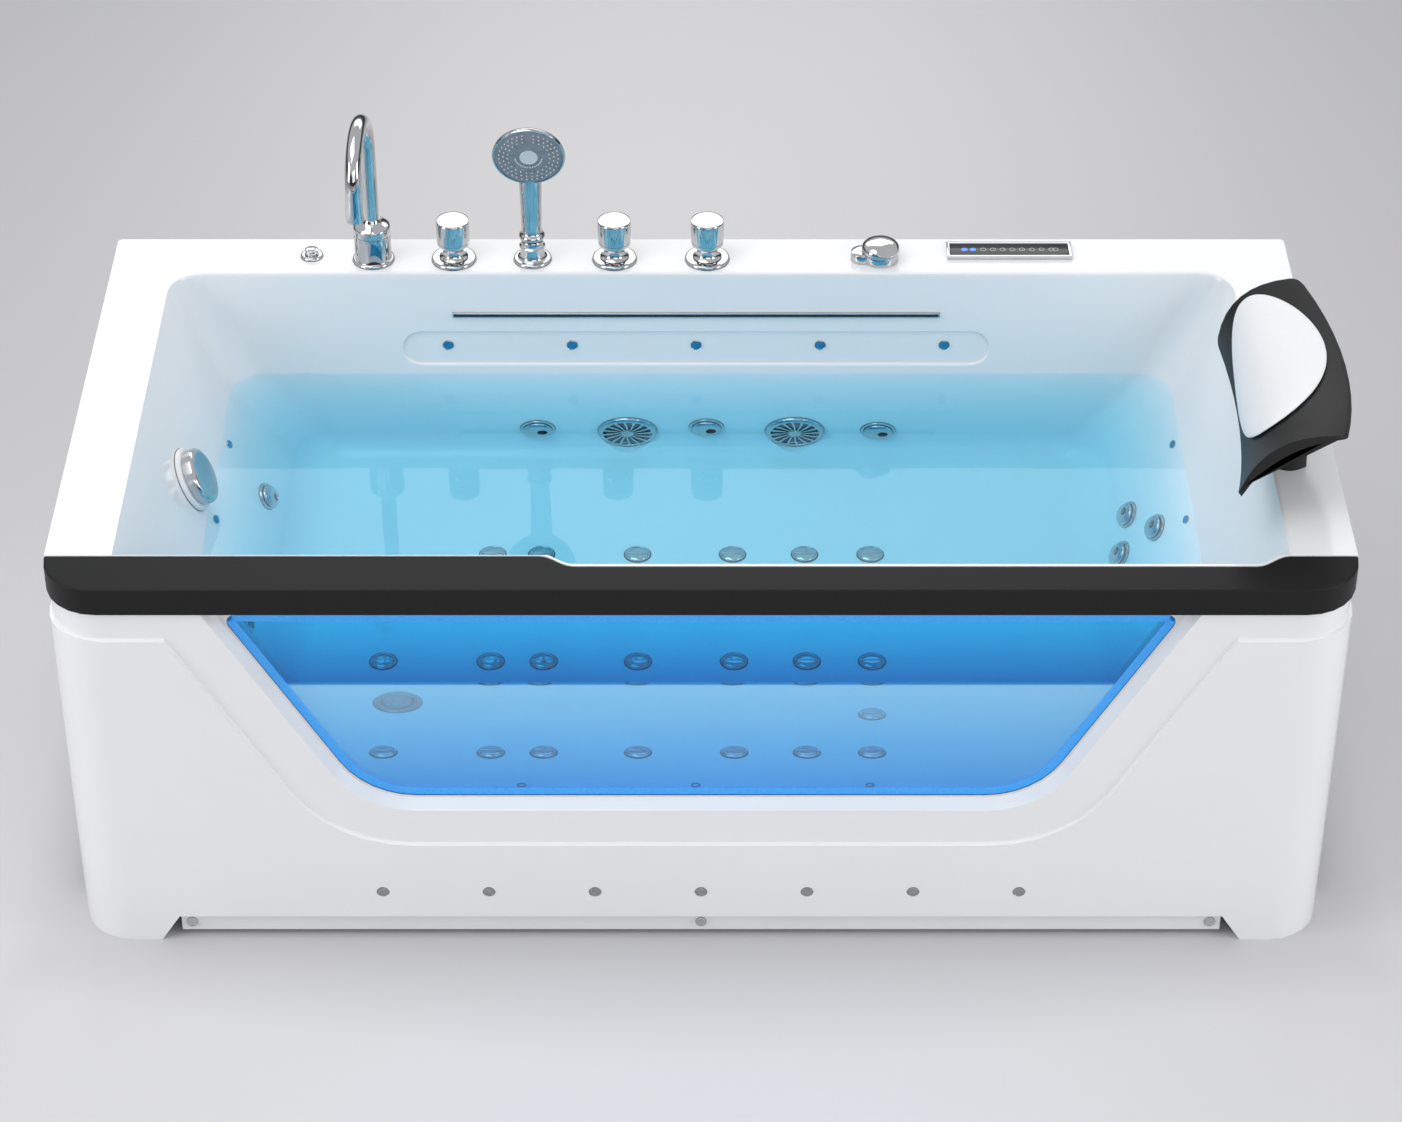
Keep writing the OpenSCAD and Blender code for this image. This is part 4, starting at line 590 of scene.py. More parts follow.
# Finish of each material slot, for the CAD nodes that stay
FINISHES = {
    "acrylic": WHITE_ACRYLIC,
    "plinth_white": PLINTH_WHITE,
    "brushed": BRUSHED,
    "chrome": CHROME,
    "window_glass": GLASS,
    "seal": RUBBER_AND_PAINTED_SHADE,
    "armrest_black": ARM_BLACK,
    "pillow_black": PILLOW_BLACK,
    "pillow_white": PILLOW_WHITE,
    "nozzle_grey": NOZZLE_GREY,
    "panel_black": PANEL_BLACK,
    "rotor_steel": BRUSHED,
    "pipe_grey": surface("pipe_grey", (0.42, 0.44, 0.46), (0.5, 0.52, 0.54), (0.3, 0.4), grain=25),
    "frame_steel": surface(
        "frame_paint", (0.10, 0.11, 0.12), (0.14, 0.15, 0.16), (0.35, 0.5), grain=60, height=3e-5
    ),
    "foot_rubber": surface(
        "foot_rubber", (0.02, 0.02, 0.02), (0.035, 0.035, 0.035), (0.6, 0.75), grain=120, height=4e-5
    ),
    "pump_black": surface(
        "pump_plastic", (0.012, 0.013, 0.015), (0.02, 0.021, 0.024), (0.4, 0.5), grain=120
    ),
    "motor_paint": surface(
        "motor_paint", (0.035, 0.045, 0.055), (0.05, 0.06, 0.07), (0.35, 0.5), grain=80, height=4e-5
    ),
    "box_grey": surface(
        "box_plastic", (0.5, 0.51, 0.5), (0.56, 0.57, 0.56), (0.35, 0.45), grain=140, height=3e-5
    ),
}


def dress_nodes():
    """Give every CAD node that stays the finish of its slot."""
    for name, node in NODES.items():
        finish = FINISHES[SLOT_OF[name]]
        if not node.material_slots:
            node.data.materials.append(finish)
        for material_slot in node.material_slots:
            material_slot.material = finish


# Turned fittings: profiles are lists of (radius, height) in millimetres
def flange(radius, height):
    """Wall, rounded edge and dished top of a deck flange."""
    return [
        (radius - 0.6, 0), (radius, 0.6), (radius, 0.55 * height), (radius - 0.5, 0.8 * height),
        (radius - 1.6, 0.96 * height), (radius - 3.2, height), (radius - 5.5, 0.94 * height),
    ]


def threads(radius, low, high, pitch=1.6):
    """Thread crests and roots between two heights."""
    points = []
    for k in range(int((high - low) / pitch)):
        z = low + k * pitch
        points += [(radius, z + 0.2), (radius, z + 0.6), (radius - 0.7, z + 1.0), (radius - 0.7, z + 1.3)]
    return points


def middle(node):
    low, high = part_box(node)
    return (low + high) / 2


def deck_place(x, y=ROW_Y):
    return Matrix.Translation((x, y, RIM_Z))


def node_place(node):
    """A deck fitting's frame: in the row of fittings, at the node's middle."""
    return deck_place(middle(node).x)


def lock_nut(name, radius, low, high):
    """A six-sided nut with turned-down corners."""
    return turned(
        name,
        [(radius - 1.5, low), (radius, low + 1.2), (radius, high - 1.2), (radius - 1.5, high)],
        segments=6,
    )


SHANK = [(11.5, -72), (13, -70.5)] + threads(13, -70, -20) + [(13, -19)]


def deck_body(node, radius, height, extra=(), bore_top=None):
    """The fixed body of a deck fitting: threaded shank, lock nut and flange."""
    top = [(17, height * 0.94), (16.4, height + 0.2)] if bore_top is None else bore_top
    body = turned(node + "_body", SHANK + [(13, -8.4), (13, -0.1)] + flange(radius, height) + top)
    washer = turned(node + "_washer", [(19, -9.9), (20.5, -9.6), (20.5, -8.6), (19, -8.3)])
    nut = lock_nut(node + "_nut", 19, -19, -10)
    return [settle(piece, node_place(node)) for piece in (body, washer, nut, *extra)]


INLET_Z = -0.06152


def inlet_tail(node):
    """The threaded inlet that leaves the shank towards the back."""
    tail = turned(
        node + "_tail",
        [(8.5, 0), (8.5, 12), (12.2, 13), (12.9, 13.6), (12.9, 15.3), (10.48, 15.5), (10.48, 24)]
        + threads(10.48, 24, 51)
        + [(10.3, 52), (9.4, 52.9), (7.2, 53), (7.0, 51.5)],
        segments=40,
    )
    return settle(tail, Matrix.Translation((0, 0, INLET_Z)) @ Matrix.Rotation(math.radians(-90), 4, "X"))


KNOB = [
    (5.95, -29), (5.95, 5.2), (20.5, 5.3), (20.8, 6.1), (20.0, 6.9), (18.2, 8.4), (16.6, 10.6),
    (15.7, 13.4), (15.4, 16.8), (15.6, 20.2), (16.6, 23.2), (18.6, 25.0), (21.6, 26.0), (23.0, 26.9),
    (23.5, 28.2), (23.6, 31.6), (22.9, 32.0), (22.9, 32.7), (23.6, 33.1), (23.8, 45.0), (24.0, 63.6),
    (23.9, 64.8), (23.3, 65.7), (22.2, 66.2), (20.5, 66.3),
]


def valves_and_knobs():
    for side in ("hot", "cold", "diverter"):
        node = side + "_valve"
        tail = [inlet_tail(node)] if side != "diverter" else []
        pieces = deck_body(node, 32, 5, extra=tail)
        fit(smoothed(joined(node + "_chrome", pieces)), CHROME, node)
        knob = side + "_knob"
        fit_turned(knob + "_cap", KNOB, node_place(knob), CHROME, knob, smooth=30)


def arch_tube(name, reach, low, rise, drop, radius, mouth):
    """The spout's tube in its own plane: up, over in a half turn and down to a wider mouth."""
    clear_selection()
    bpy.ops.mesh.primitive_circle_add(vertices=40, radius=radius, fill_type="NOTHING", location=(0, 0, low))
    tube = bpy.context.object
    tube.name = name
    bpy.ops.object.transform_apply(location=True, rotation=False, scale=False)
    open_mesh(tube)
    extrude(0, 0, rise - low)
    bpy.ops.mesh.spin(steps=40, angle=math.pi, center=(reach / 2, 0, rise), axis=(0, -1, 0))
    steps = 8
    for k in range(steps):
        extrude(0, 0, (drop - rise) / steps)
        grow = 1 + (mouth / radius - 1) * (ease((k + 1) / steps) - ease(k / steps))
        bpy.ops.transform.resize(value=(grow, grow, 1))
    rim = 0.0016
    for inward, up in ((0.0006, -0.0006), (rim, 0), (rim + 0.0006, 0.0006), (rim + 0.0006, 0.014)):
        scale = (mouth - inward) / mouth
        extrude(0, 0, up)
        bpy.ops.transform.resize(value=(scale, scale, 1))
    bpy.ops.mesh.edge_face_add()
    leave_edit()
    return tube


SPOUT_TURN = -4
SPOUT_REACH = 0.130


def spout_pieces():
    swivel_x = JOINTS["spout_swivel"]["pos_m"][0]
    base = deck_body("spout_base", 30, 5, bore_top=[
        (26.9, 5.0), (26.5, 5.6), (26.5, 43.8), (26.3, 44.6), (25.6, 45), (20, 45),
    ])
    for piece in base:
        settle(piece, Matrix.Translation((swivel_x - middle("spout_base").x, 0, 0)))
    fit(smoothed(joined("spout_base_chrome", base)), CHROME, "spout_base")
    shoulder = [(26.5 - 13.2 * ease(k / 8), 56 + 11 * k / 8) for k in range(9)]
    body = turned(
        "spout_body_chrome",
        [(14.9, 20.4), (14.9, 45.2), (25.4, 45.35), (26.3, 45.8), (26.5, 46.6), (26.5, 55)] + shoulder
        + [(12.6, 69), (12.1, 70.2), (11.4, 70.4)],
    )
    tube = arch_tube(
        "spout_tube", SPOUT_REACH, low=0.062, rise=0.1895, drop=0.145, radius=0.0115, mouth=0.0130
    )
    filter_cup = settle(
        turned("spout_filter", [(11.2, 0), (11.2, 2.0), (10.2, 2.6), (3, 2.7)], segments=40),
        Matrix.Translation((SPOUT_REACH, 0, 0.148)),
    )
    spout = joined("spout_chrome", [body, tube, filter_cup])
    tidy_mesh(spout)
    settle(spout, deck_place(swivel_x) @ Matrix.Rotation(math.radians(SPOUT_TURN - 90), 4, "Z"))
    fit(smoothed(spout, 30), CHROME, "spout")


# Hand shower
HEAD_TIP = math.radians(12.6)
HEAD_UP = 0.187
HEAD_BACK = 0.018


def head_place(x):
    """The shower head's frame: its z axis points out of the spray face."""
    tip = Matrix.Rotation(math.pi / 2 + HEAD_TIP, 4, "X")
    return deck_place(x) @ Matrix.Translation((0, -HEAD_BACK, HEAD_UP)) @ tip


def spray_dots(x):
    """Rings of small rubber nozzles, with a gap at the top of the face."""
    dots = []
    rings = [(42, 34, 22), (36, 28, 26), (30, 22, 30), (19, 16, 200)]
    for radius, count, gap in rings:
        for k in range(count):
            turn = math.radians(270 + (k - (count - 1) / 2) * (360 - gap) / (count - 1))
            dot = turned("spray_dot", [(1.1, 8.6), (1.05, 9.9), (0.7, 10.3)], segments=10)
            dots.append(settle(dot, head_place(x) @ Matrix.Translation(
                (radius * MM * math.cos(turn), radius * MM * math.sin(turn), 0)
            )))
    return smoothed(joined("spray_dots", dots))


def hand_shower():
    x = middle("shower_holder").x
    holder = deck_body("shower_holder", 27.3, 5, bore_top=[
        (21.4, 4.9), (20.0, 5.6), (18.4, 7.6), (17.6, 10.4), (17.4, 20), (17.6, 21.6), (18.6, 22.4),
        (18.6, 24.2), (17.4, 25), (16.0, 26.5), (15.8, 33.0), (15.2, 34), (10, 34),
    ])
    fit(smoothed(joined("shower_holder_chrome", holder)), CHROME, "shower_holder")
    handset = settle(turned("shower_handle", [
        (8.4, -66), (8.4, 36.8), (15.6, 37.0), (18.4, 38.2), (19.0, 40.4), (18.6, 43.0), (16.8, 45.4),
        (15.2, 47.2), (14.6, 49.5), (14.5, 54), (14.9, 80), (15.7, 110), (16.4, 132), (16.5, 146),
        (16.0, 156), (14.8, 166), (12.6, 176), (9.5, 184), (5, 189),
    ]), deck_place(x))
    head = settle(turned("shower_head", [
        (8, -9.6), (18, -9), (30, -7.4), (41, -4.6), (48, -1.2), (51.2, 2.4), (52, 5.4), (51.7, 7.6),
        (50.8, 8.8), (49.6, 9), (48.9, 8.6), (48.7, 6.4), (40, 6.2),
    ], segments=96), head_place(x))
    fit(smoothed(joined("shower_chrome", [handset, head]), 40), CHROME, "shower_handset")
    fit_turned("shower_face_grey", [
        (44, 6.1), (48.4, 6.6), (48.4, 8.0), (47.4, 8.6), (24, 9.0), (23.4, 8.6), (13.2, 8.6),
        (12.6, 8.9), (11.6, 8.9), (10.8, 8.7), (4, 8.7),
    ], head_place(x), FACE_GREY, "shower_face", segments=96, smooth=30)
    ring = settle(turned("spray_ring", [
        (10.6, 8.5), (12.6, 8.5), (12.9, 9.0), (12.6, 9.5), (11.2, 9.5), (10.9, 9.0),
    ]), head_place(x))
    for piece in (smoothed(ring), spray_dots(x)):
        fit(piece, DOT_WHITE, body=BODY_OF["shower_face"], slot=SLOT_OF["shower_face"])
    fit_turned("shower_o_ring", [
        (10, 34.2), (13.6, 34.2), (15.0, 34.7), (15.4, 35.5), (15.0, 36.3), (13.6, 36.8), (10, 36.8),
    ], deck_place(x), RUBBER_AND_PAINTED_SHADE, "shower_ring", smooth=35)


# Air button and air control
def button_place():
    at = middle("button_base")
    return deck_place(at.x, at.y)


def air_button_pieces():
    place = button_place()
    base = (
        [(11, -30), (12.4, -29)] + threads(12.4, -28, -14) + [(12.4, -8.3), (12.4, -0.1)]
        + flange(16, 4.6) + [(10.5, 4.4), (10.15, 4.2), (10.15, -9.6)]
    )
    nut = lock_nut("button_nut", 16, -13, -8.4)
    pieces = [settle(piece, place) for piece in (turned("button_base_body", base), nut)]
    fit(smoothed(joined("button_base_chrome", pieces)), CHROME, "button_base")
    fit_turned("air_button_chrome", [
        (9.5, -4.9), (9.95, -4.5), (9.95, 5.4), (9.2, 5.7), (9.2, 6.3), (10, 6.7), (10, 10.2),
        (9.6, 11.2), (8.6, 11.8), (6.5, 12.0), (5.5, 11.5), (2, 11.3),
    ], place, CHROME, "air_button", smooth=30)


def air_control_pieces():
    place = deck_place(JOINTS["air_dial_turn"]["pos_m"][0])
    big = [(25.2, 0), (26, 0.8), (26, 11.5), (25.4, 13.6), (23.6, 14.8), (20, 15)]
    small = [(16.2, 0), (17, 0.8), (17, 11.0), (16.2, 13.2), (13.8, 14.6), (10, 14.8)]
    pieces = [
        settle(turned("control_lobe", big), place),
        settle(turned("control_small_lobe", small), place @ Matrix.Translation((-0.026, 0, 0))),
        settle(turned("control_shank", SHANK + [(13, 0.5)]), place),
        settle(lock_nut("control_nut", 19, -18.3, -8.3), place),
    ]
    fit(smoothed(joined("air_control_base_chrome", pieces)), CHROME, "air_control_base")
    dial = turned(
        "air_control_dial_chrome",
        [(5.9, -29), (5.9, 15.3), (26.6, 15.35), (27.5, 16.2), (27.5, 19.6), (26.8, 22.2), (24.6, 25.2),
         (20.6, 27.8), (14.5, 29.6), (7, 30.3)],
        segments=80,
    )
    open_mesh(dial)
    bpy.ops.mesh.bisect(
        plane_co=(0.004, -0.0165, 0.0262), plane_no=(0.28, -0.52, 0.80), clear_outer=True, use_fill=True
    )
    leave_edit()
    settle(dial, place)
    fit(soften(dial, 0.0007, angle=24, smooth=24), CHROME, "air_control_dial")


# Control panel
BEZEL = 0.0045
PANEL_SUNK = 0.0038
GLASS_LAP = Vector((0.0018, 0.0018, 0))
LIT_KEYS_X = (0.3822, 0.3945)
KEYS_X = [0.4095 + 0.0141 * k for k in range(8)]
LAST_KEY_X = KEYS_X[-1] + 0.0062
KEY_RING = [(4.3, -0.3), (4.3, 0.15), (4.1, 0.22), (3.5, 0.22), (3.3, 0.15), (3.3, -0.3)]


def control_panel():
    surround = slab("panel_frame_chrome", *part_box("panel_frame"))
    open_picked(surround, "polygons", lambda face: face.normal.z > 0.9)
    bpy.ops.mesh.inset(thickness=BEZEL)
    extrude(0, 0, -PANEL_SUNK)
    leave_edit()
    fit(soften(surround, 0.0008, segments=3), CHROME, "panel_frame")

    low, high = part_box("panel_face")
    glass = slab("panel_glass", low - GLASS_LAP, high + GLASS_LAP)
    fit(soften(glass, 0.0003), PANEL_BLACK, "panel_face")

    def key_place(x):
        return Matrix.Translation((x, (low.y + high.y) / 2, high.z))

    lit = []
    for x in LIT_KEYS_X:
        key = turned("lit_key", [(4.6, -0.3), (4.6, 0.12), (4.2, 0.25), (2, 0.3)], segments=32)
        lit.append(settle(key, key_place(x)))
    fit(smoothed(joined("lit_keys", lit)), KEY_BLUE, body="root", slot="panel_black")
    rings = []
    for k, x in enumerate(KEYS_X):
        rings.append(settle(turned("key_ring", KEY_RING, segments=32), key_place(x)))
        mark = slab("key_mark", (-0.0004, 0.0002, -0.0002), (0.0004, 0.0024, 0.00015))
        rings.append(settle(mark, key_place(x) @ Matrix.Rotation(math.radians(-40 * k), 4, "Z")))
    rings.append(settle(turned("key_ring", KEY_RING, segments=32), key_place(LAST_KEY_X)))
    fit(smoothed(joined("key_rings", rings)), KEY_GREY, body="root", slot="chrome")


# Basin fittings
TO_FRONT = Matrix.Rotation(math.pi / 2, 4, "X")
JET_WALLS = ["back"] * 3 + ["left"] * 2 + ["right"] * 3
FALL_X = -0.007
FALL_LAMP_GAP = 0.181
FALL_LAMP_Z = 0.474
END_LAMP_Y = (-0.016, 0.167)
END_LAMP_Z = 0.406
SKIRT_LAMP_GAP = 0.144
SKIRT_LAMP_Z = 0.0865
RECESS_DEPTH = 0.004
FALL_Z = 0.529
FALL_SLOT = 0.0019
MOUTH_OFFSET = 0.007
FINS = 16
FIN_IN = 0.0085
FIN_OUT = 0.0362


def wall_place(wall, along, z):
    """A fitting's frame on a basin wall: its z axis points into the basin."""
    if wall == "back":
        return Matrix.Translation((along, BACK_Y, z)) @ TO_FRONT
    side = 1 if wall == "right" else -1
    lean = Matrix.Rotation(side * (END_SLOPE - math.pi / 2), 4, "Y")
    return Matrix.Translation((side * wall_x(z), along, z)) @ lean


def floor_place(point):
    return Matrix.Translation((point.x, point.y, FLOOR_Z))


def jet_place(number, wall):
    at = JOINTS[f"nozzle_turn_{number}"]["pos_m"]
    return wall_place(wall, at[0] if wall == "back" else at[1], at[2])


def overflow_place():
    at = JOINTS["overflow_turn"]["pos_m"]
    return wall_place("left", at[1], at[2])


def solids_of(node):
    """The lowest and highest corners of each separate solid of a CAD node."""
    open_mesh(copy_of(node))
    bpy.ops.mesh.separate(type="LOOSE")
    leave_edit()
    boxes = []
    for solid in list(bpy.context.selected_objects):
        corners = [v.co for v in solid.data.vertices]
        low = Vector([min(c[i] for c in corners) for i in range(3)])
        high = Vector([max(c[i] for c in corners) for i in range(3)])
        boxes.append((low, high))
        bpy.data.objects.remove(solid)
    return sorted(boxes, key=lambda box: (round(box[0].y, 3), box[0].x))


def middles_of(node):
    return [(low + high) / 2 for low, high in solids_of(node)]


def grille_places():
    return [wall_place("back", at.x, at.z) for at in middles_of("suction_grilles")]


def jets():
    """Each jet has a ring, a barrel and a lock nut, and a nozzle that turns on its own body."""
    housings = []
    off_centre = Matrix.Translation((MOUTH_OFFSET, 0, 0))
    for number, wall in enumerate(JET_WALLS, start=1):
        place = jet_place(number, wall)
        ring = turned("jet_ring", [
            (24.4, 0.1), (25.6, 0.2), (26, 0.8), (26, 2.6), (25.5, 3.7), (24.5, 4.35), (23.2, 4.5),
            (22.4, 4.3), (22.2, 3.6), (16, 3.4), (15.4, 3.2), (15.4, -9),
        ], segments=56)
        barrel = turned(
            "jet_barrel", [(17, -45), (19.7, -43)] + threads(19.7, -40, -18, 2) + [(19.7, -17), (19.7, 0.3)]
        )
        nut = lock_nut("jet_nut", 26, -17.3, -8.3)
        housings += [settle(piece, place) for piece in (ring, barrel, nut)]
        nozzle = turned("jet_nozzle", [
            (14.8, -9), (14.9, -8.6), (14.9, 4.7), (21.2, 4.8), (21.9, 5.4), (21.9, 6.6), (21.2, 8.0),
            (19.4, 9.4), (16.5, 10.6), (12.5, 11.4), (7, 11.75),
        ], segments=56)
        mouth = turned("mouth_tool", [(6.5, -6), (6.5, 8.4), (7.6, 11.8), (8.4, 14)], segments=32)
        cut(nozzle, settle(mouth, off_centre))
        eye = turned("jet_eye", [
            (6.45, -4.2), (6.45, 2.0), (5.4, 2.6), (4.3, 2.6), (3.9, 1.4), (3.9, -2),
        ], segments=32)
        settle(eye, off_centre)
        eye.data.materials.append(NOZZLE_GREY)
        nozzle.data.materials.clear()
        nozzle.data.materials.append(CHROME)
        whole = joined(f"jet_nozzle_{number}_chrome", [nozzle, eye])
        settle(whole, place)
        fit(smoothed(whole, 32), None, f"jet_nozzle_{number}")
    fit(smoothed(joined("jet_housings_chrome", housings), 32), CHROME, "jet_housings")


def suction_grilles():
    """A domed ring with swirled slots round a hub, and a dark strainer behind them."""
    chrome, dark = [], []
    for place in grille_places():
        ring = turned("grille_ring", [
            (42.6, 0.1), (43.6, 0.4), (44, 1.2), (43.8, 3.2), (42.6, 5.6), (40.4, 7.4), (37.6, 8.2),
            (36, 8.0), (35.4, 7.0), (35.4, 2.6),
        ], segments=80)
        hub = turned("grille_hub", [(9.5, 2.4), (9.5, 7.6), (8.8, 8.6), (6.5, 9.0), (3, 8.7)], segments=40)
        chrome += [settle(ring, place), settle(hub, place)]
        for k in range(FINS):
            fin = slab("grille_fin", (FIN_IN, -0.0014, 0.0026), (FIN_OUT, 0.0014, 0.0079))
            open_mesh(fin)
            bpy.ops.mesh.subdivide(number_cuts=4)
            leave_edit()
            for v in fin.data.vertices:
                out = (v.co.x - FIN_IN) / (FIN_OUT - FIN_IN)
                v.co.y = v.co.y * (0.7 + 0.9 * out) + 0.0042 * out * out
            soften(fin, 0.0005)
            chrome.append(settle(fin, place @ Matrix.Rotation(math.tau * k / FINS, 4, "Z")))
        barrel = turned(
            "grille_barrel", [(20, -45), (22, -43)] + threads(22, -40, -12, 2) + [(22, -10), (22, 1.0)]
        )
        chrome.append(settle(barrel, place))
        chrome.append(settle(lock_nut("grille_nut", 29, -17, -8.3), place))
        strainer = turned("grille_strainer", [(37, 0.2), (37, 2.2), (30, 3.0), (12, 3.2)], segments=64)
        dark.append(settle(strainer, place))
    fit(smoothed(joined("suction_grilles_chrome", chrome), 32), CHROME, "suction_grilles")
    fit(smoothed(joined("grille_strainers", dark)), NOZZLE_GREY, body="root", slot="nozzle_grey")


def floor_jets():
    """Domed caps with a cross bar, on threaded stems."""
    caps = []
    for at in middles_of("floor_air_jets"):
        stem = turned(
            "floor_stem", [(6, -23), (7.5, -22)] + threads(7.5, -20, -9, 1.8) + [(7.5, -8.4), (7.5, 0.5)], 32
        )
        cap = turned("floor_cap", [
            (17.2, 0.05), (18.2, 0.3), (18.5, 0.9), (18.4, 2.2), (17.8, 2.9), (16.6, 3.2), (16.0, 3.0),
            (15.6, 3.3), (14.2, 4.2), (11.0, 4.9), (6, 5.2),
        ], segments=48)
        bar = slab("floor_bar", (-0.0145, -0.0016, 0.003), (0.0145, 0.0016, 0.0062))
        soften(bar, 0.0009, segments=3)
        caps += [settle(piece, floor_place(at)) for piece in (stem, cap, bar)]
    fit(smoothed(joined("floor_jets_chrome", caps), 32), CHROME, "floor_air_jets")


def drain_pieces():
    place = floor_place(middle("drain_plug"))
    fit_turned("drain_body_chrome", [
        (17, -126), (20, -124)] + threads(20, -120, -84, 2) + [(20, -82), (20, -48.5), (24, -48), (25, -46)]
        + [(25, -9), (25, -0.1), (33, 0.1), (34, 0.6), (34, 1.3), (33, 2.3), (30.5, 3.0), (27, 2.9),
           (25.2, 2.2), (24.4, 0.4), (20.5, 0.3), (20.4, -0.4), (20.4, -9),
    ], place, DRAIN_STEEL, "drain_body")
    fit_turned("drain_plug_chrome", [
        (3.9, -44.6), (3.9, -5.2), (18.6, -5), (19.9, -4.4), (20, -3), (20, 1.6), (19.4, 2.6),
        (18.2, 3.1), (15.8, 3.0), (14.6, 2.4), (11.6, 2.3), (10.6, 3.2), (9.8, 3.8), (5, 4.0),
    ], place, DRAIN_STEEL, "drain_plug")


def overflow_pieces():
    place = overflow_place()
    fit_turned("overflow_body_white", [
        (22, -40), (25, -38)] + threads(25, -36, -18, 2) + [(25, -17), (46, -15.3), (46, -8.3), (25, -8.2),
        (25, 0), (45, 0.1), (46, 1.0), (46, 4.4), (44.8, 6.3), (42.6, 7.0), (34, 7.0), (5.1, 6.9),
        (5.1, -19),
    ], place, WHITE_ACRYLIC, "overflow_body")
    fit_turned("overflow_dial_chrome", [
        (4.95, -18.8), (4.95, 7.25), (38.8, 7.35), (39.8, 8.0), (40, 9.2), (40, 18.0), (39.4, 20.4),
        (37.6, 22.6), (34.6, 23.9), (31.5, 24.2), (29.0, 23.6), (20, 22.9), (9, 22.7),
    ], place, CHROME, "overflow_dial", segments=96)


def lamp(place, lens):
    """A lamp's chrome rim and its lens, in their own finishes."""
    rim = turned("lamp_rim", [
        (5.2, -26), (5.4, -25), (5.4, -0.1), (8.0, 0.05), (8.5, 0.5), (8.5, 1.2), (8.2, 1.9),
        (7.8, 2.1), (7.5, 1.8), (7.3, 0.4),
    ], segments=40)
    eye = turned("lamp_lens", [(7.45, 0.2), (7.45, 1.5), (6.8, 2.0), (5.0, 2.4), (2.4, 2.5)], segments=40)
    rim.data.materials.append(CHROME)
    eye.data.materials.append(lens)
    return settle(joined("lamp", [rim, eye]), place)


def lamps():
    sunk = Matrix.Translation((0, 0, -RECESS_DEPTH))
    places = [wall_place("back", FALL_X + i * FALL_LAMP_GAP, FALL_LAMP_Z) @ sunk for i in range(-2, 3)]
    places += [wall_place(side, y, END_LAMP_Z) for side in ("left", "right") for y in END_LAMP_Y]
    basin = [lamp(place, LENS_BLUE) for place in places]
    fit(smoothed(joined("basin_lamps_lit", basin)), None, "basin_lamps")
    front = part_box("front_skirt")[0].y + 0.0025
    places = [Matrix.Translation((i * SKIRT_LAMP_GAP, front, SKIRT_LAMP_Z)) @ TO_FRONT for i in range(-3, 4)]
    skirt = [lamp(place, LENS_GREY) for place in places]
    fit(smoothed(joined("skirt_lamps_chrome", skirt)), None, "skirt_lamps")


def plinth_caps():
    caps = []
    for low, high in solids_of("plinth_screws"):
        cap = turned("plinth_cap", [
            (7.6, -2), (8, 0.2), (8, 1.6), (7.4, 2.6), (6.2, 3.0), (5.4, 2.6), (2.5, 2.5),
        ], segments=40)
        place = Matrix.Translation(((low.x + high.x) / 2, high.y, (low.z + high.z) / 2))
        caps.append(settle(cap, place @ TO_FRONT))
    fit(smoothed(joined("plinth_caps_chrome", caps)), CHROME, "plinth_screws")


def ledge_studs():
    studs = []
    for low, high in solids_of("window_studs"):
        stud = turned("ledge_stud", [
            (6.2, -1), (6.5, 0.3), (6.5, 2.6), (6.0, 3.8), (4.6, 4.7), (2.4, 5.0),
        ], segments=40)
        studs.append(settle(stud, Matrix.Translation(((low.x + high.x) / 2, (low.y + high.y) / 2, low.z))))
    fit(smoothed(joined("ledge_studs_chrome", studs)), CHROME, "window_studs")


def waterfall():
    """The spout's mouth: a folded chrome lip round a slot, with a black slab in the slot as its painted shade, and
    its box behind the wall.
    """
    piece = copy_of("waterfall_spout")
    fit(soften(piece, 0.0005), CHROME, "waterfall_spout")
    low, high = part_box("waterfall_spout")
    # Painted shade: a black slab in the slot's mouth stands for the shade inside it.
    slot = slab(
        "waterfall_slot_shade",
        (low.x + 0.003, low.y - 0.0002, FALL_Z - FALL_SLOT),
        (high.x - 0.003, low.y + 0.002, FALL_Z + FALL_SLOT),
    )
    fit(slot, RUBBER_AND_PAINTED_SHADE, body="root", slot="nozzle_grey")


def paint_flange_shade():
    """Thin dark rubber under every flange, reaching a little past its edge to paint a contact shadow at its foot.
    """
    rings = []

    def ring(radius, place, wide=0.55):
        profile = [
            (radius - 3, 0.03), (radius + wide - 0.35, 0.03), (radius + wide, 0.2),
            (radius + wide - 0.1, 0.55), (radius - 3, 0.6),
        ]
        rings.append(settle(turned("contact_shade_ring", profile, segments=48), place))

    for number, wall in enumerate(JET_WALLS, start=1):
        ring(26, jet_place(number, wall))
    for place in grille_places():
        ring(44, place)
    for at in middles_of("floor_air_jets"):
        ring(18.5, floor_place(at), 1.3)
    drain = floor_place(middle("drain_plug"))
    ring(34, drain, 1.5)
    # Painted shade: a dark ring in the gap between the drain's plug and its body.
    seam = [(24.3, 0.45), (24.3, 0.9), (23.9, 1.2), (21.0, 1.2), (20.6, 0.9), (20.6, 0.45)]
    rings.append(settle(turned("plug_seam", seam), drain))
    ring(46, overflow_place())
    for node in ("hot_valve", "cold_valve", "diverter_valve"):
        ring(32, node_place(node))
    ring(27.3, node_place("shower_holder"))
    ring(30, deck_place(JOINTS["spout_swivel"]["pos_m"][0]))
    ring(16, button_place())
    fit(smoothed(joined("flange_contact_shade", rings)), RUBBER_AND_PAINTED_SHADE, body="root", slot="seal")


# Acrylic, armrest and window
def weighted(piece):
    """Keep the flat faces flat beside their bevels."""
    choose(piece)
    normals = piece.modifiers.new("weighted", "WEIGHTED_NORMAL")
    normals.keep_sharp = True
    normals.weight = 80
    bpy.ops.object.modifier_apply(modifier="weighted")
    return piece


RECESS_LOW = 0.440
RECESS_HIGH = 0.500


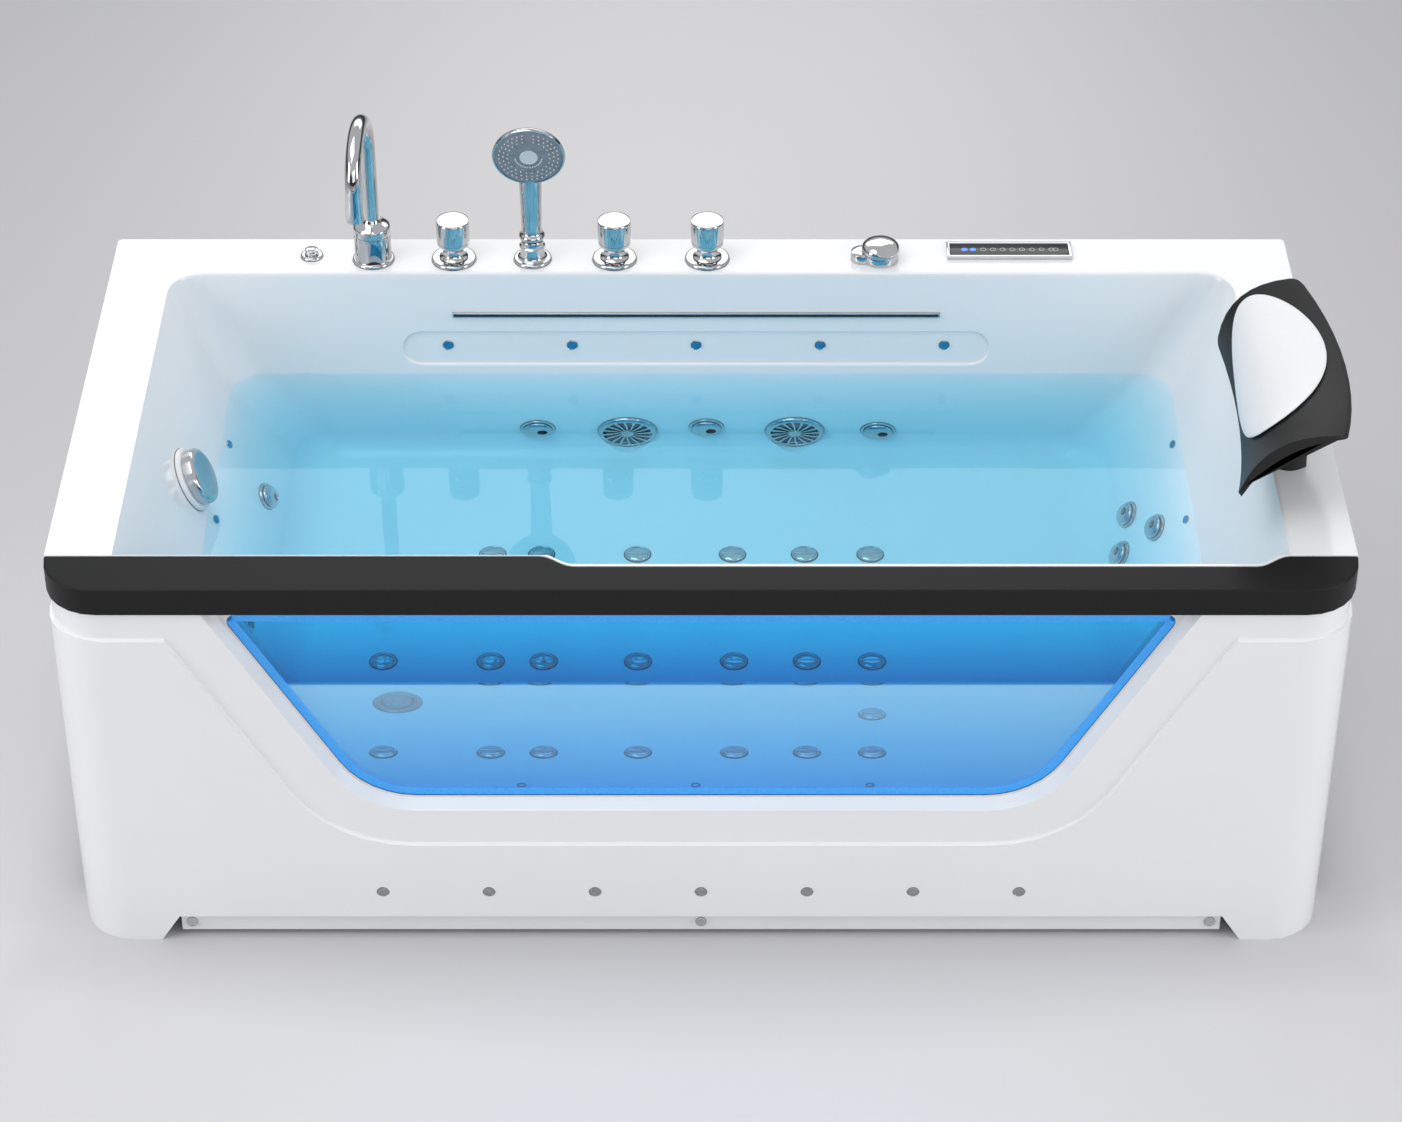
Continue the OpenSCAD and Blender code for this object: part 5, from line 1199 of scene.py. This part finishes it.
def round_recess(piece):
    """Round the edge of the lamp band's recess wide, by hand."""
    def on_recess(edge):
        ends = [piece.data.vertices[k].co for k in edge.vertices]
        in_band = all(abs(c.y - BACK_Y) < 2e-4 and RECESS_LOW < c.z < RECESS_HIGH for c in ends)
        return in_band and abs(ends[0].z - ends[1].z) < 0.02

    open_picked(piece, "edges", on_recess)
    bpy.ops.mesh.bevel(offset=0.0034, offset_type="OFFSET", segments=3)
    leave_edit()


def slope_step(piece):
    """Turn the step round the window's band into a slope that catches the light."""
    front = min(v.co.y for v in piece.data.vertices)

    def on_step(edge):
        ends = [piece.data.vertices[k].co for k in edge.vertices]
        return all(abs(c.y - front) < 3e-4 and c.z > SKIRT_LAMP_Z + 0.02 for c in ends)

    open_picked(piece, "edges", on_step)
    bpy.ops.mesh.bevel(offset=0.0044, offset_type="OFFSET", segments=1, clamp_overlap=True)
    leave_edit()


def moulded(node, finish, width, first=None, angle=30, smooth=40):
    """A CAD copy whose edges are rounded as the moulding rounds them."""
    piece = copy_of(node)
    piece.name = node + "_moulded"
    if first:
        first(piece)
    soften(piece, width, segments=3, angle=angle, smooth=smooth)
    fit(weighted(piece), finish, node)


def acrylic_pieces():
    moulded("tub_shell", WHITE_ACRYLIC, 0.0016, first=round_recess, smooth=32)
    moulded("front_skirt", WHITE_ACRYLIC, 0.0013, first=slope_step, angle=20)
    moulded("left_panel", WHITE_ACRYLIC, 0.0022)
    moulded("right_panel", WHITE_ACRYLIC, 0.0022)
    moulded("plinth", PLINTH_WHITE, 0.0012)


def armrest_piece():
    """The black rail, its sharp edges rounded wide."""
    piece = copy_of("armrest")
    piece.name = "armrest_rail"
    soften(piece, 0.0045, segments=5, angle=50, smooth=40)
    fit(weighted(piece), ARM_BLACK, "armrest")


def window_seal():
    """A pale bead on the glass whose inner lip is dark blue."""
    piece = copy_of("window_trim")
    piece.name = "window_bead"
    soften(piece, 0.0006, segments=2, angle=40)
    piece.data.materials.clear()
    piece.data.materials.append(BEAD_GREY)
    piece.data.materials.append(LIP_BLUE)
    for face in piece.data.polygons:
        inward = Vector((-face.center.x, 0, 0.5 - face.center.z)).normalized()
        face.material_index = 1 if face.normal.dot(inward) > 0.3 and abs(face.normal.y) < 0.9 else 0
    fit(piece, None, "window_trim")


EDGE_WIDTH = 0.019


def window_edge_painted_glow():
    """Painted glow: a glowing blue strip round the rim of the glass paints the bright edge of the window's reveal.
    """
    piece = copy_of("window_glass")
    piece.name = "window_edge_painted_glow"
    front = min(v.co.y for v in piece.data.vertices)

    def not_front(face):
        return face.normal.y >= -0.9 or abs(face.center.y - front) >= 1e-4

    open_picked(piece, "polygons", not_front)
    bpy.ops.mesh.delete(type="FACE")
    bpy.ops.mesh.select_all(action="SELECT")
    bpy.ops.mesh.inset(thickness=EDGE_WIDTH)
    bpy.ops.mesh.delete(type="FACE")
    bpy.ops.mesh.select_all(action="SELECT")
    extrude(0, -0.0004, 0)
    leave_edit()
    fit(smoothed(tidy_mesh(piece)), PAINTED_EDGE_GLOW, body="root", slot="window_glass")


# Head pillow
def pillow_frame_piece():
    """The saddle, with its rim rounded, and its smoothed stalk."""
    piece = copy_of("pillow_frame")
    piece.name = "pillow_saddle"
    fit(soften(piece, 0.003, segments=3, angle=50, smooth=55), PILLOW_BLACK, "pillow_frame")
    foot = copy_of("pillow_foot")
    foot.name = "pillow_stalk"
    fit(smoothed(foot, 50), PILLOW_BLACK, "pillow_foot")


def pillow_pad_piece():
    """The white oval pad, padded over its seat, with a drawn-in edge."""
    piece = copy_of("pillow_pad")
    piece.name = "pillow_cushion"
    choose(piece)
    finer = piece.modifiers.new("finer", "SUBSURF")
    finer.levels = finer.render_levels = 2
    bpy.ops.object.modifier_apply(modifier="finer")
    fit(smoothed(piece, 60), PILLOW_WHITE, "pillow_pad")


def main():
    place_camera()
    studio()
    dress_nodes()
    bath_water()
    valves_and_knobs()
    spout_pieces()
    hand_shower()
    air_button_pieces()
    air_control_pieces()
    control_panel()
    jets()
    suction_grilles()
    floor_jets()
    drain_pieces()
    overflow_pieces()
    lamps()
    plinth_caps()
    ledge_studs()
    waterfall()
    paint_flange_shade()
    acrylic_pieces()
    armrest_piece()
    window_seal()
    window_edge_painted_glow()
    pillow_frame_piece()
    pillow_pad_piece()


main()

bpy.context.scene.view_settings.view_transform = "Standard"
